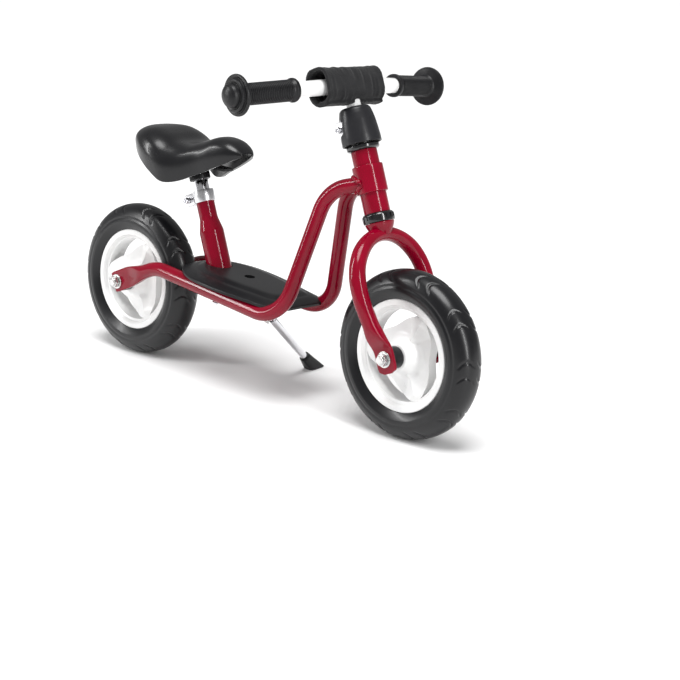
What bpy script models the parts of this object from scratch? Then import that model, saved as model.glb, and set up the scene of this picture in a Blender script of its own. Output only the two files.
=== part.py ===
"""Toddler balance bike standing on its side stand.

Metres, +Z up, +X forward, +Y to the rider's left. The bike is drawn upright round an empty called
bike, whose origin lies on the ground midway between the wheels, and that empty is then leaned to
the left until both tyres and the stand's rubber foot rest on the floor.
"""
import bpy
import bmesh
from math import asin, copysign, cos, pi, radians, sin, sqrt, tan
from mathutils import Vector, Matrix

# ---------------------------------------------------------------- driving dimensions
LEAN = radians(5.3)              # lean to the left on the side stand
GAP = 0.0003                     # clearance between touching pieces

WHEEL_R = 0.1025                 # 205 mm foam tyre
TYRE_HALF = 0.0227
TYRE_STEPS = 36                  # facets round a tyre; one of them lies on the floor
RIM_R = 0.0682                   # outer edge of the rim flange
RIM_HALF = 0.0169
BED_R = 0.0600                   # rim bed that the foam ring sits on
HUB_R = 0.0165
WHEELBASE = 0.4834
AXLE_R = 0.0050
HUB_HALF = 0.0400                # half the distance between the inner faces of the fork ends
PLATE = 0.0040                   # flattened tube end, two walls pressed together

HEAD_ANGLE = radians(22.0)       # steering axis, from the vertical; it passes through the front axle
FRAME_R = 0.0095                 # 19 mm frame tubes
FORK_R = 0.0100
HEAD_R = 0.0159                  # 31.8 mm head tube
SLEEVE_R = 0.0188
HEAD_LOW, HEAD_TOP = 0.1718, 0.2480        # head tube, distances up the axis from the axle
SLEEVE_LOW, SLEEVE_TOP = 0.1962, 0.2296
STEERER_R = 0.0125
STEM_R = 0.0090
BAR_R = 0.0095
BAR_UP = 0.3269                  # handlebar centre up the steering axis
BAR_STRAIGHT = 0.035             # half length of the bar's straight middle
BAR_SWEEP = radians(8.5)         # the ends bend back by this much
BAR_END = 0.148                  # length of each swept end
GRIP_START, GRIP_FLANGE, GRIP_TIP = 0.0520, 0.1330, 0.1502

SEAT_ANGLE = radians(22.0)
SEAT_X, SEAT_Z = -0.0902, 0.1499           # seat tube axis where it meets the footboard
SEAT_TUBE_R = 0.0160
SEAT_NECK_R = 0.0120
POST_R = 0.0095
SEAT_TOP = 0.0965                # top of the seat tube up its axis
SEAT_FOOT = -0.0260              # its lower end
POST_TOP = 0.1270

DECK_SLOPE = radians(5.95)       # the frame's lower run and the footboard drop forward
STAND_PIVOT = (0.0032, 0.0041, 0.0991)
STAND_TOE = (-0.0130, 0.1110, 0.0104)      # middle of the rubber foot's sole
STAND_AXIS = (0.159, 0.645, 0.748)
LEG_R = 0.0052

RED = (0.42, 0.004, 0.022)
BLACK = (0.012, 0.012, 0.013)
WHITE = (0.82, 0.82, 0.80)
STEEL = (0.62, 0.62, 0.63)

for old in list(bpy.data.objects):
    bpy.data.objects.remove(old, do_unlink=True)


# ---------------------------------------------------------------- small tools
def material(name, colour, roughness, metallic=0.0):
    mat = bpy.data.materials.new(name)
    mat.use_nodes = True
    shader = mat.node_tree.nodes["Principled BSDF"]
    shader.inputs["Base Color"].default_value = (*colour, 1.0)
    shader.inputs["Roughness"].default_value = roughness
    shader.inputs["Metallic"].default_value = metallic
    return mat


PAINT = dict(colour=RED, roughness=0.22)
PLASTIC = dict(colour=BLACK, roughness=0.45)
RUBBER = dict(colour=BLACK, roughness=0.65)
BRIGHT = dict(colour=STEEL, roughness=0.2, metallic=1.0)
LACQUER = dict(colour=WHITE, roughness=0.3)


def empty(name, parent=None, location=(0, 0, 0), matrix=None):
    marker = bpy.data.objects.new(name, None)
    bpy.context.collection.objects.link(marker)
    marker.parent = parent
    marker.matrix_local = matrix if matrix else Matrix.Translation(location)
    return marker


def piece(name, bm, parent, finish, location=(0, 0, 0), sharp=40.0):
    """Turn a bmesh into a named object with its own material."""
    bmesh.ops.remove_doubles(bm, verts=bm.verts, dist=1e-6)
    bmesh.ops.recalc_face_normals(bm, faces=bm.faces)
    mesh = bpy.data.meshes.new(name)
    bm.to_mesh(mesh)
    bm.free()
    mesh.shade_smooth()
    mesh.set_sharp_from_angle(angle=radians(sharp))
    mesh.materials.append(material(name, **finish))
    obj = bpy.data.objects.new(name, mesh)
    bpy.context.collection.objects.link(obj)
    obj.parent = parent
    obj.location = location
    return obj


def cutter(name, bm, parent, location=(0, 0, 0)):
    bmesh.ops.remove_doubles(bm, verts=bm.verts, dist=1e-6)
    bmesh.ops.recalc_face_normals(bm, faces=bm.faces)
    mesh = bpy.data.meshes.new(name)
    bm.to_mesh(mesh)
    bm.free()
    obj = bpy.data.objects.new(name, mesh)
    bpy.context.collection.objects.link(obj)
    obj.parent = parent
    obj.location = location
    obj.hide_render = True
    obj.display_type = "WIRE"
    return obj


def cut(obj, tool):
    mod = obj.modifiers.new("cut_" + tool.name, "BOOLEAN")
    mod.operation = "DIFFERENCE"
    mod.solver = "EXACT"
    mod.object = tool


def lathe(profile, steps=20, axis="Z", phase=0.0):
    """Spin a closed outline of (radius, height) points into a solid of revolution. phase turns
    the facets by that part of a step."""
    bm = bmesh.new()
    rings = []
    for k in range(steps):
        turn = 2 * pi * (k + phase) / steps
        ring = []
        for radius, height in profile:
            if axis == "Z":
                place = (radius * cos(turn), radius * sin(turn), height)
            else:
                place = (radius * sin(turn), height, radius * cos(turn))
            ring.append(bm.verts.new(place))
        rings.append(ring)
    count = len(profile)
    for k in range(steps):
        near, far = rings[k], rings[(k + 1) % steps]
        for i in range(count):
            j = (i + 1) % count
            corners = [near[i], near[j], far[j], far[i]]
            if profile[i][0] < 1e-9 and profile[j][0] < 1e-9:
                continue
            if profile[i][0] < 1e-9:
                corners = [near[i], near[j], far[j]]
            elif profile[j][0] < 1e-9:
                corners = [near[i], near[j], far[i]]
            bm.faces.new(corners)
    bmesh.ops.remove_doubles(bm, verts=bm.verts, dist=1e-7)
    return bm


def rod(radius, low, high, steps=16, axis="Z", bevel=0.0):
    """Solid round bar with optional chamfered ends."""
    if bevel:
        outline = [(0, low), (radius - bevel, low), (radius, low + bevel),
                   (radius, high - bevel), (radius - bevel, high), (0, high)]
    else:
        outline = [(0, low), (radius, low), (radius, high), (0, high)]
    return lathe(outline, steps, axis)


def pipe(outer, inner, low, high, steps=20, axis="Z"):
    return lathe([(inner, low), (outer, low), (outer, high), (inner, high)], steps, axis)


def rounded_path(corners, radii, step=radians(12)):
    """Polyline through the corners with each inner corner turned on a radius."""
    path = [Vector(corners[0])]
    for k in range(1, len(corners) - 1):
        here = Vector(corners[k])
        back = (Vector(corners[k - 1]) - here).normalized()
        ahead = (Vector(corners[k + 1]) - here).normalized()
        turn = pi - back.angle(ahead)
        reach = radii[k - 1] * tan(turn / 2)
        centre = here + (back + ahead).normalized() * (radii[k - 1] / cos(turn / 2))
        start = here + back * reach - centre
        axis = start.cross(here + ahead * reach - centre).normalized()
        count = max(2, int(turn / step + 0.5))
        for i in range(count + 1):
            path.append(centre + Matrix.Rotation(turn * i / count, 3, axis) @ start)
    path.append(Vector(corners[-1]))
    return path


def sweep(path, section, side, sides=12):
    """Skin a solid along a path. section(point, index) gives the half height, the half width along
    side and the squareness (2 is an ellipse, more is flatter)."""
    bm = bmesh.new()
    loops = []
    last = len(path) - 1
    for k, point in enumerate(path):
        tangent = (path[min(k + 1, last)] - path[max(k - 1, 0)]).normalized()
        across = (side - tangent * side.dot(tangent)).normalized()
        up = tangent.cross(across)
        half_up, half_side, square = section(point, k)
        loop = []
        for i in range(sides):
            turn = 2 * pi * (i + 0.5) / sides
            c, s = cos(turn), sin(turn)
            along = copysign(abs(c) ** (2 / square), c) * half_side
            above = copysign(abs(s) ** (2 / square), s) * half_up
            loop.append(bm.verts.new(point + across * along + up * above))
        loops.append(loop)
    for near, far in zip(loops, loops[1:]):
        for i in range(sides):
            j = (i + 1) % sides
            bm.faces.new([near[i], near[j], far[j], far[i]])
    bm.faces.new(loops[0][::-1])
    bm.faces.new(loops[-1])
    return bm


def blend(value, low, high):
    """0 below low, 1 above high, smooth between."""
    t = min(1.0, max(0.0, (value - low) / (high - low)))
    return t * t * (3 - 2 * t)


def tilted(location, angle):
    """Frame at location whose Z leans back by angle."""
    return Matrix.Translation(location) @ Matrix.Rotation(-angle, 4, "Y")


# ---------------------------------------------------------------- guides that carry the pieces
bike = empty("bike")
rear_axle_at = Vector((-WHEELBASE / 2, 0, WHEEL_R))
front_axle_at = Vector((WHEELBASE / 2, 0, WHEEL_R))
steer = empty("steer", bike, matrix=tilted(front_axle_at, HEAD_ANGLE))
seat = empty("seat", bike, matrix=tilted((SEAT_X, 0, SEAT_Z), SEAT_ANGLE))
rear_hub = empty("rear_hub", bike, location=rear_axle_at)
front_hub = empty("front_hub", steer, matrix=Matrix.Rotation(HEAD_ANGLE, 4, "Y"))


# ---------------------------------------------------------------- wheels
def tyre_outline():
    """Cross-section (radius, offset) of the foam ring: a bead between the rim flanges and a
    rounded crown that overhangs them."""
    bead_half = RIM_HALF - 0.0030
    bead_low = BED_R + GAP
    shoulder = RIM_R + GAP
    crown_r = 0.0770
    outline = [(bead_low, -bead_half), (shoulder, -bead_half), (shoulder, -RIM_HALF)]
    count = 8
    for k in range(count + 1):
        turn = -pi / 2 + pi * k / count
        c, s = cos(turn), sin(turn)
        outline.append((crown_r + (WHEEL_R - crown_r) * abs(c) ** (2 / 2.3),
                        TYRE_HALF * copysign(abs(s) ** (2 / 2.3), s)))
    outline += [(shoulder, RIM_HALF), (shoulder, bead_half), (bead_low, bead_half)]
    return outline


def rim_outline():
    """Channel for the foam ring, a dished web and a hub barrel, in one moulding."""
    lip = RIM_HALF - 0.0030 + GAP
    web = 0.0050
    hub = 0.0235
    bore = 0.0112
    right = [(BED_R, lip), (RIM_R, lip), (RIM_R - 0.0006, RIM_HALF), (0.0600, RIM_HALF),
             (0.0560, 0.0125), (0.0500, web), (0.0300, web + 0.0035), (HUB_R + 0.004, 0.0150),
             (HUB_R, hub), (bore, hub)]
    left = [(radius, -offset) for radius, offset in reversed(right)]
    return [(BED_R, 0.0)] + right + [(bore, 0.0)] + left


def window_cutter(name, parent, centre):
    """Crescent window between two of the three arms, just inside the rim."""
    bm = bmesh.new()
    reach = radians(38)
    count = 6
    outer = [(0.0545 * cos(a), 0.0545 * sin(a))
             for a in (centre - reach + 2 * reach * k / count for k in range(count + 1))]
    inner_centre, inner_r = 0.016, 0.0190
    inner = []
    for k in range(1, count):
        turn = radians(62) - radians(124) * k / count
        x = inner_centre + inner_r * cos(turn)
        y = inner_r * sin(turn) * 1.15
        inner.append((x * cos(centre) - y * sin(centre), x * sin(centre) + y * cos(centre)))
    ends = [bm.verts.new((x, -0.03, z)) for x, z in outer + inner]
    face = bm.faces.new(ends)
    moved = bmesh.ops.extrude_face_region(bm, geom=[face])["geom"]
    bmesh.ops.translate(bm, vec=(0, 0.06, 0),
                        verts=[g for g in moved if isinstance(g, bmesh.types.BMVert)])
    return cutter(name, bm, parent)


def wheel(which, hub):
    piece(which + "_tyre", lathe(tyre_outline(), TYRE_STEPS, "Y", 0.5), hub, RUBBER)
    rim = piece(which + "_rim", lathe(rim_outline(), 24, "Y"), hub, LACQUER)
    for k in range(3):
        cut(rim, window_cutter("%s_window_%d" % (which, k), hub, radians(120 * k)))
    for sign, side in ((1, "left"), (-1, "right")):
        inner, outer = sign * 0.0160, sign * 0.0230
        piece("%s_bearing_%s" % (which, side),
              pipe(0.0109, AXLE_R + GAP, min(inner, outer), max(inner, outer), 16, "Y"),
              hub, BRIGHT)


wheel("rear", rear_hub)
wheel("front", front_hub)


def axle_set(which, parent):
    """Fixed axle, the black spacers that centre the hub, washers and nuts."""
    nut_in = HUB_HALF + PLATE + GAP + 0.0015
    piece(which + "_axle", rod(AXLE_R, -0.0535, 0.0535, 16, "Y", 0.0008), parent, BRIGHT)
    for sign, side in ((1, "left"), (-1, "right")):
        def span(a, b):
            return (min(sign * a, sign * b), max(sign * a, sign * b))
        low, high = span(0.0240, HUB_HALF - GAP)
        piece("%s_spacer_%s" % (which, side),
              pipe(0.0135, AXLE_R + GAP, low, high, 20, "Y"), parent, PLASTIC)
        low, high = span(nut_in + GAP, nut_in + 0.0050)
        nut = piece("%s_nut_%s" % (which, side), rod(0.0130 / sqrt(3), low, high, 6, "Y"),
                    parent, BRIGHT)
        cut(nut, cutter("%s_nut_bore_%s" % (which, side),
                        rod(AXLE_R + GAP, low - 0.001, high + 0.001, 20, "Y"), parent))


axle_set("rear", rear_hub)
axle_set("front", steer)


# ---------------------------------------------------------------- frame tubes
PLATE_TILT = radians(24)
TUBE_Y = 0.0425
rear_end = rear_axle_at + Vector((-0.0065 * cos(PLATE_TILT), HUB_HALF + PLATE / 2,
                                  -0.0065 * sin(PLATE_TILT)))
crimp = rear_end + Vector((0.0345 * cos(PLATE_TILT), 0, 0.0345 * sin(PLATE_TILT)))
corners = [rear_end, crimp, (-0.1635, TUBE_Y, 0.1359), (0.0705, 0.0460, 0.1115),
           (0.1115, 0.0178, 0.2817), (0.1600, 0.0104, 0.2945)]


def tube_y(x):
    """Half the distance between the two frame tubes along their lower run."""
    start, end = corners[2], corners[3]
    return start[1] + (end[1] - start[1]) * (x - start[0]) / (end[0] - start[0])


def frame_tube_path(sign):
    route = [Vector((p[0], sign * p[1], p[2])) for p in corners]
    return rounded_path(route, [0.090, 0.060, 0.050, 0.048])


def frame_section(grow=0.0):
    """Round tube whose rear end is pressed flat into a dropout."""
    def section(point, index):
        flat = 1 - blend(point.x, crimp.x - 0.004, crimp.x + 0.030)
        nose = blend(point.x, 0.125, 0.158)
        up = FRAME_R + (0.0140 - FRAME_R) * flat + grow
        side = FRAME_R + (PLATE / 2 - FRAME_R) * flat - 0.0008 * nose + grow
        return up, side, 2.0 + 6.0 * flat
    return section


def dense(path, longest=0.014):
    """Extra stations on the long straight stretches that change section."""
    result = [path[0]]
    for a, b in zip(path, path[1:]):
        length = (b - a).length
        near_end = min(a.x, b.x) < crimp.x + 0.035 or max(a.x, b.x) > 0.13
        count = max(1, int(length / longest + 0.5)) if near_end else 1
        for i in range(1, count + 1):
            result.append(a.lerp(b, i / count))
    return result


Y_AXIS = Vector((0, 1, 0))
sleeve_tool = cutter("sleeve_tool", rod(SLEEVE_R + GAP, 0.17, 0.26, 20), steer)
axle_slot = bmesh.new()
bmesh.ops.create_cube(axle_slot, size=1.0)
bmesh.ops.scale(axle_slot, vec=(0.0140, 0.12, 2 * AXLE_R + 0.0008), verts=axle_slot.verts)
bmesh.ops.translate(axle_slot, vec=(-0.0070 + 0.0052, 0, 0), verts=axle_slot.verts)
slot_tool = cutter("slot_tool", axle_slot, rear_hub)
slot_tool.rotation_euler = (0, -PLATE_TILT, 0)

SCREWS = [(-0.0450, 1), (-0.0450, -1)]
DECK_AT = (-0.0333, 0, 0.1319)
deck = empty("deck", bike, matrix=Matrix.Translation(DECK_AT)
             @ Matrix.Rotation(DECK_SLOPE, 4, "Y"))
screw_tools = [cutter("screw_tool_%d" % k, rod(0.0024, -0.030, 0.0082, 10), deck,
                      (x - DECK_AT[0], sign * tube_y(x), 0)) for k, (x, sign) in enumerate(SCREWS)]

tube_guides = []
for sign, side in ((1, "left"), (-1, "right")):
    path = dense(frame_tube_path(sign))
    tube = piece("frame_tube_" + side, sweep(path, frame_section(), Y_AXIS, 12), bike, PAINT)
    cut(tube, sleeve_tool)
    cut(tube, slot_tool)
    for tool, (x, tool_sign) in zip(screw_tools, SCREWS):
        if tool_sign == sign:
            cut(tube, tool)
    tube_guides.append(cutter("tube_guide_" + side,
                              sweep(path, frame_section(0.0005), Y_AXIS, 12), bike))

# short cross members under the footboard
BRIDGE_R = 0.0070
BRIDGE_FRONT, BRIDGE_REAR = (0.0060, 0, 0.1200), (-0.1080, 0, 0.1300)
for name, place in (("bridge_front", BRIDGE_FRONT), ("bridge_rear", BRIDGE_REAR)):
    half = tube_y(place[0]) - FRAME_R - GAP
    piece(name, rod(BRIDGE_R, -half, half, 14, "Y"), bike, PAINT, location=place)

# head tube with its reinforcing sleeve, and the two black plastic headset bushes
piece("head_tube", pipe(HEAD_R, 0.0138, HEAD_LOW, HEAD_TOP, 20), steer, PAINT)
sleeve = [(HEAD_R + GAP, SLEEVE_LOW), (SLEEVE_R - 0.0010, SLEEVE_LOW),
          (SLEEVE_R, SLEEVE_LOW + 0.0010), (SLEEVE_R, SLEEVE_TOP - 0.0010),
          (SLEEVE_R - 0.0010, SLEEVE_TOP), (HEAD_R + GAP, SLEEVE_TOP)]
piece("head_sleeve", lathe(sleeve, 20), steer, PAINT)
bush_bore = STEERER_R + GAP
lower = [(bush_bore, 0.1605), (0.0188, 0.1605), (0.0195, 0.1615), (0.0195, 0.1705),
         (0.0188, HEAD_LOW - GAP), (0.0135, HEAD_LOW - GAP), (0.0135, 0.1850), (bush_bore, 0.1850)]
piece("headset_bush_lower", lathe(lower, 20), steer, PLASTIC)
upper = [(bush_bore, 0.2550), (0.0192, 0.2550), (0.0200, 0.2540), (0.0200, 0.2492),
         (0.0192, HEAD_TOP + GAP), (0.0135, HEAD_TOP + GAP), (0.0135, 0.2350),
         (bush_bore, 0.2350)]
piece("headset_bush_upper", lathe(upper[::-1], 20), steer, PLASTIC)


# ---------------------------------------------------------------- seat tube
def seat_tube():
    bore = POST_R + GAP
    outline = [(bore, SEAT_FOOT), (SEAT_TUBE_R, SEAT_FOOT), (SEAT_TUBE_R, 0.0440),
               (SEAT_TUBE_R - 0.0012, 0.0490), (SEAT_NECK_R + 0.0008, 0.0590),
               (SEAT_NECK_R, 0.0620), (SEAT_NECK_R, SEAT_TOP), (bore, SEAT_TOP)]
    piece("seat_tube", lathe(outline, 20), seat, PAINT)


seat_tube()
# stubs that tie the seat tube's foot to the two frame tubes
STAY_AT = (-0.0824, 0, 0.1275)
for sign, side in ((1, "left"), (-1, "right")):
    low, high = SEAT_TUBE_R + GAP, tube_y(STAY_AT[0]) - FRAME_R - GAP
    piece("seat_stay_" + side, rod(BRIDGE_R, min(sign * low, sign * high),
                                   max(sign * low, sign * high), 14, "Y"),
          bike, PAINT, location=STAY_AT)


def clamp_ring(name, parent, inner, outer, low, high, finish):
    """Split collar with two parallel ears at the back and a slot between them."""
    bm = bmesh.new()
    slot, ear_half, ear = 0.0012, 0.0078, 0.0145
    outer_end = pi - asin(ear_half / outer)
    inner_end = pi - asin(slot / inner)
    count = 20
    outside = [(outer * cos(a), outer * sin(a))
               for a in (outer_end * (1 - 2 * k / count) for k in range(count + 1))]
    inside = [(inner * cos(a), inner * sin(a))
              for a in (inner_end * (2 * k / count - 1) for k in range(count + 1))]
    points = [(-outer - ear, slot), (-outer - ear, ear_half)] + outside
    points += [(-outer - ear, -ear_half), (-outer - ear, -slot)] + inside
    face = bm.faces.new([bm.verts.new((x, y, low)) for x, y in points])
    moved = bmesh.ops.extrude_face_region(bm, geom=[face])["geom"]
    bmesh.ops.translate(bm, vec=(0, 0, high - low),
                        verts=[g for g in moved if isinstance(g, bmesh.types.BMVert)])
    return piece(name, bm, parent, finish)


def clamp_bolt(name, parent, x, z):
    """Socket-head bolt through both ears of a clamp."""
    outline = [(0, -0.0125), (0.0020, -0.0125), (0.0020, -0.0145), (0.0042, -0.0145),
               (0.0042, -0.0082), (0.0022, -0.0082), (0.0022, 0.0120), (0, 0.0120)]
    piece(name, lathe(outline, 14, "Y"), parent, BRIGHT, location=(x, 0, z))


def clamp_hole(name, parent, x, z):
    return cutter(name, rod(0.0026, -0.02, 0.02, 12, "Y"), parent, (x, 0, z))


SEAT_CLAMP_LOW = 0.0830
seat_ring = clamp_ring("seat_clamp", seat, SEAT_NECK_R + GAP, 0.0140, SEAT_CLAMP_LOW,
                       SEAT_TOP + 0.0020, BRIGHT)
cut(seat_ring, clamp_hole("seat_clamp_hole", seat, -0.0225, 0.0907))
clamp_bolt("seat_clamp_bolt", seat, -0.0225, 0.0907)

# ---------------------------------------------------------------- seat post and saddle
post = empty("post", seat, location=(0, 0, POST_TOP))
piece("seat_post", rod(POST_R, -0.1490, 0.0, 20, "Z", 0.0008), post, BRIGHT)
collar = [(POST_R + GAP, -0.0141), (0.0130, -0.0141), (0.0138, -0.0131), (0.0138, -0.0010),
          (0.0130, 0.0), (POST_R + GAP, 0.0)]
piece("saddle_clamp", lathe(collar, 20), post, PLASTIC)
level = empty("level", post, matrix=Matrix.Rotation(SEAT_ANGLE, 4, "Y"))
POST_TOP_AT = Vector((SEAT_X - POST_TOP * sin(SEAT_ANGLE), 0, SEAT_Z + POST_TOP * cos(SEAT_ANGLE)))


def saddle():
    """Saddle cushion drawn as stations along the bike: a wide rear, a waist and a raised nose,
    with a skirt that hangs lower at the sides than in the middle."""
    # x, half width, top, side skirt, middle of the underside
    stations = [(-0.2290, 0.024, 0.3080, 0.2960, 0.2990), (-0.2215, 0.041, 0.3150, 0.2890, 0.2950),
                (-0.2090, 0.052, 0.3190, 0.2830, 0.2940), (-0.1930, 0.060, 0.3200, 0.2745, 0.2890),
                (-0.1740, 0.063, 0.3150, 0.2635, 0.2840), (-0.1540, 0.060, 0.3070, 0.2530, 0.2800),
                (-0.1330, 0.050, 0.3045, 0.2555, 0.2795), (-0.1120, 0.040, 0.3100, 0.2650, 0.2810),
                (-0.0900, 0.034, 0.3170, 0.2750, 0.2850), (-0.0700, 0.028, 0.3155, 0.2850, 0.2900),
                (-0.0560, 0.021, 0.3090, 0.2920, 0.2940), (-0.0470, 0.012, 0.3020, 0.2965, 0.2975)]
    bm = bmesh.new()
    loops = []
    for x, half, top, skirt, middle in stations:
        lip = 0.010 if half > 0.03 else half * 0.3
        section = []
        for k in range(9):
            turn = pi * k / 8
            c, s = cos(turn), sin(turn)
            tuck = 1 - 0.16 * (1 - s) ** 2
            section.append((half * tuck * copysign(abs(c) ** 0.8, c),
                            skirt + (top - skirt) * s ** 0.75))
        inside = half * 0.84 - lip
        section += [(-inside, skirt), (-inside * 0.55, middle - 0.002), (0, middle),
                    (inside * 0.55, middle - 0.002), (inside, skirt)]
        loops.append([bm.verts.new(Vector((x, y, z)) - POST_TOP_AT) for y, z in section])
    count = len(loops[0])
    for near, far in zip(loops, loops[1:]):
        for i in range(count):
            j = (i + 1) % count
            bm.faces.new([near[i], near[j], far[j], far[i]])
    bm.faces.new(loops[0])
    bm.faces.new(loops[-1][::-1])
    bmesh.ops.triangulate(bm, faces=bm.faces)
    piece("saddle", bm, level, dict(colour=BLACK, roughness=0.5), sharp=60)


saddle()


def saddle_base():
    """Hard plastic pan under the cushion, with a boss that takes the post."""
    bm = bmesh.new()
    outline = [(-0.200, 0.018), (-0.188, 0.023), (-0.150, 0.019), (-0.105, 0.012),
               (-0.080, 0.008)]
    points = outline + [(x, -y) for x, y in reversed(outline)]
    low, high = 0.2738, 0.2770
    face = bm.faces.new([bm.verts.new((x - POST_TOP_AT.x, y, low - POST_TOP_AT.z))
                         for x, y in points])
    moved = bmesh.ops.extrude_face_region(bm, geom=[face])["geom"]
    bmesh.ops.translate(bm, vec=(0, 0, high - low),
                        verts=[g for g in moved if isinstance(g, bmesh.types.BMVert)])
    piece("saddle_base", bm, level, PLASTIC)


saddle_base()

# ---------------------------------------------------------------- footboard
BOARD_TOP = 0.0125


def footboard():
    """Leaf-shaped plastic tread that lies on both frame tubes: thin wings and a raised middle."""
    bm = bmesh.new()
    half = [(0.0975, 0.0080), (0.0980, 0.0250), (0.0960, 0.0380), (0.0900, 0.0450),
            (0.0780, 0.0495), (0.0600, 0.0520), (0.0400, 0.0552), (0.0100, 0.0598),
            (-0.0200, 0.0612), (-0.0450, 0.0590), (-0.0650, 0.0525), (-0.0800, 0.0435),
            (-0.0900, 0.0330), (-0.0970, 0.0180), (-0.0990, 0.0060)]
    outline = half + [(x, -y) for x, y in reversed(half)]
    loops = []
    for share, height in ((1.0, 0.0), (1.0, 0.0036), (0.80, 0.0085), (0.62, 0.0115),
                          (0.54, BOARD_TOP)):
        lengthways = 1 - 0.6 * (1 - share)
        loops.append([bm.verts.new((x * lengthways, y * share, height)) for x, y in outline])
    for near, far in zip(loops, loops[1:]):
        for i in range(len(outline)):
            j = (i + 1) % len(outline)
            bm.faces.new([near[i], near[j], far[j], far[i]])
    bm.faces.new(loops[0][::-1])
    bm.faces.new(loops[-1])
    board = piece("footboard", bm, deck, PLASTIC)
    seat_hole = cutter("seat_hole", rod(SEAT_TUBE_R + 0.0008, -0.08, 0.06, 20), seat)
    centre_hole = cutter("centre_hole", rod(0.0070, -0.02, 0.03, 16), deck)
    for tool in [seat_hole, centre_hole] + tube_guides + screw_tools:
        cut(board, tool)


footboard()
for k, (x, sign) in enumerate(SCREWS):
    under = -2 * FRAME_R - 0.0008
    outline = [(0, under - 0.0030), (0.0030, under - 0.0030), (0.0040, under - 0.0016),
               (0.0040, under - GAP), (0.0020, under - GAP), (0.0020, 0.0070), (0, 0.0070)]
    piece("footboard_screw_%d" % (k + 1), lathe(outline, 12), deck, BRIGHT,
          location=(x - DECK_AT[0], sign * tube_y(x), 0))


# ---------------------------------------------------------------- fork and steering
def fork_path():
    """One tube bent into an arch over the wheel; its legs draw in to the axle."""
    radius, centre = 0.0603, 0.0862
    arc = [Vector((0, radius * cos(a), centre + radius * sin(a)))
           for a in (radians(90 - 10 * k) for k in range(0, 10))]
    plate_y = HUB_HALF + PLATE / 2
    leg = rounded_path([arc[-1], (0, 0.0603, 0.070), (0, 0.0500, 0.026), (0, plate_y, 0.0120),
                        (0, plate_y, -0.0175)], [0.09, 0.05, 0.03])
    extra = []
    for a, b in zip(leg, leg[1:]):
        count = max(1, int((b - a).length / 0.016 + 0.5))
        extra += [a.lerp(b, i / count) for i in range(1, count + 1)]
    right = arc + extra
    left = [Vector((p.x, -p.y, p.z)) for p in reversed(right)]
    return left + right[1:]


def fork_section(grow=0.0):
    def section(point, index):
        flat = 1 - blend(point.z, 0.010, 0.044)
        crown = blend(point.z, 0.125, 0.144)
        tip = 1 - blend(point.z, -0.0190, -0.0080)
        wide = FORK_R + (0.0140 - FORK_R) * flat - 0.0060 * tip
        thick = FORK_R + (PLATE / 2 - FORK_R) * flat - 0.0013 * crown
        return thick + grow, wide + grow, 2.0 + 6.0 * flat
    return section


FORWARD = Vector((1, 0, 0))
arch = piece("fork_arch", sweep(fork_path(), fork_section(), FORWARD, 10), steer, PAINT)
cut(arch, cutter("fork_axle_hole", rod(AXLE_R + GAP, -0.06, 0.06, 20, "Y"), steer))
arch_guide = cutter("arch_guide", sweep(fork_path(), fork_section(GAP), FORWARD, 10), steer)
crown = piece("fork_crown", lathe([(0, 0.1470), (0.0120, 0.1470), (0.0158, 0.1525),
                                   (0.0178, 0.1585), (0.0178, 0.1600), (0, 0.1600)], 20),
              steer, PAINT)
cut(crown, arch_guide)
STEERER_TOP = 0.2885
piece("fork_steerer", pipe(STEERER_R, STEM_R + GAP, 0.1600 + GAP, STEERER_TOP, 20), steer, BRIGHT)

stem_ring = clamp_ring("stem_clamp", steer, STEERER_R + GAP, 0.0158, 0.2685, STEERER_TOP, BRIGHT)
cut(stem_ring, clamp_hole("stem_clamp_hole", steer, -0.0215, 0.2785))
clamp_bolt("stem_clamp_bolt", steer, -0.0215, 0.2785)


def stem_cover():
    """Tapered plastic cap over the stem clamp, notched at the back round the clamp's ears."""
    wall = 0.0018
    outline = [(0.0240 - wall, 0.2558), (0.0240, 0.2558), (0.0237, 0.2640), (0.0221, 0.2800),
               (0.0197, 0.2930), (0.0172, 0.3000), (STEM_R + 0.0006, 0.3005),
               (STEM_R + 0.0006, 0.2980), (0.0197 - wall, 0.2960), (0.0221 - wall, 0.2800)]
    cover = piece("stem_cover", lathe(outline, 20), steer, PLASTIC)
    notch = bmesh.new()
    bmesh.ops.create_cube(notch, size=1.0)
    bmesh.ops.scale(notch, vec=(0.030, 0.034, 0.0225), verts=notch.verts)
    bmesh.ops.translate(notch, vec=(-0.0290, 0, 0.2785), verts=notch.verts)
    cut(cover, cutter("notch", notch, steer))


stem_cover()

# ---------------------------------------------------------------- handlebar
bar = empty("bar", steer, location=(0, 0, BAR_UP))


def bar_path():
    back, out = BAR_END * sin(BAR_SWEEP), BAR_END * cos(BAR_SWEEP)
    return rounded_path([(-back, -BAR_STRAIGHT - out, 0), (0, -BAR_STRAIGHT, 0),
                         (0, BAR_STRAIGHT, 0), (-back, BAR_STRAIGHT + out, 0)],
                        [0.080, 0.080], radians(4.2))


piece("handlebar", sweep(bar_path(), lambda p, k: (BAR_R, BAR_R, 2.0), FORWARD, 14), bar, LACQUER)
bar_tool = cutter("bar_tool", rod(BAR_R + GAP, -0.02, 0.02, 24, "Y"), bar)
stem = piece("handlebar_stem", rod(STEM_R, -0.1500, -0.0030, 20), bar, LACQUER)
cut(stem, bar_tool)


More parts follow.
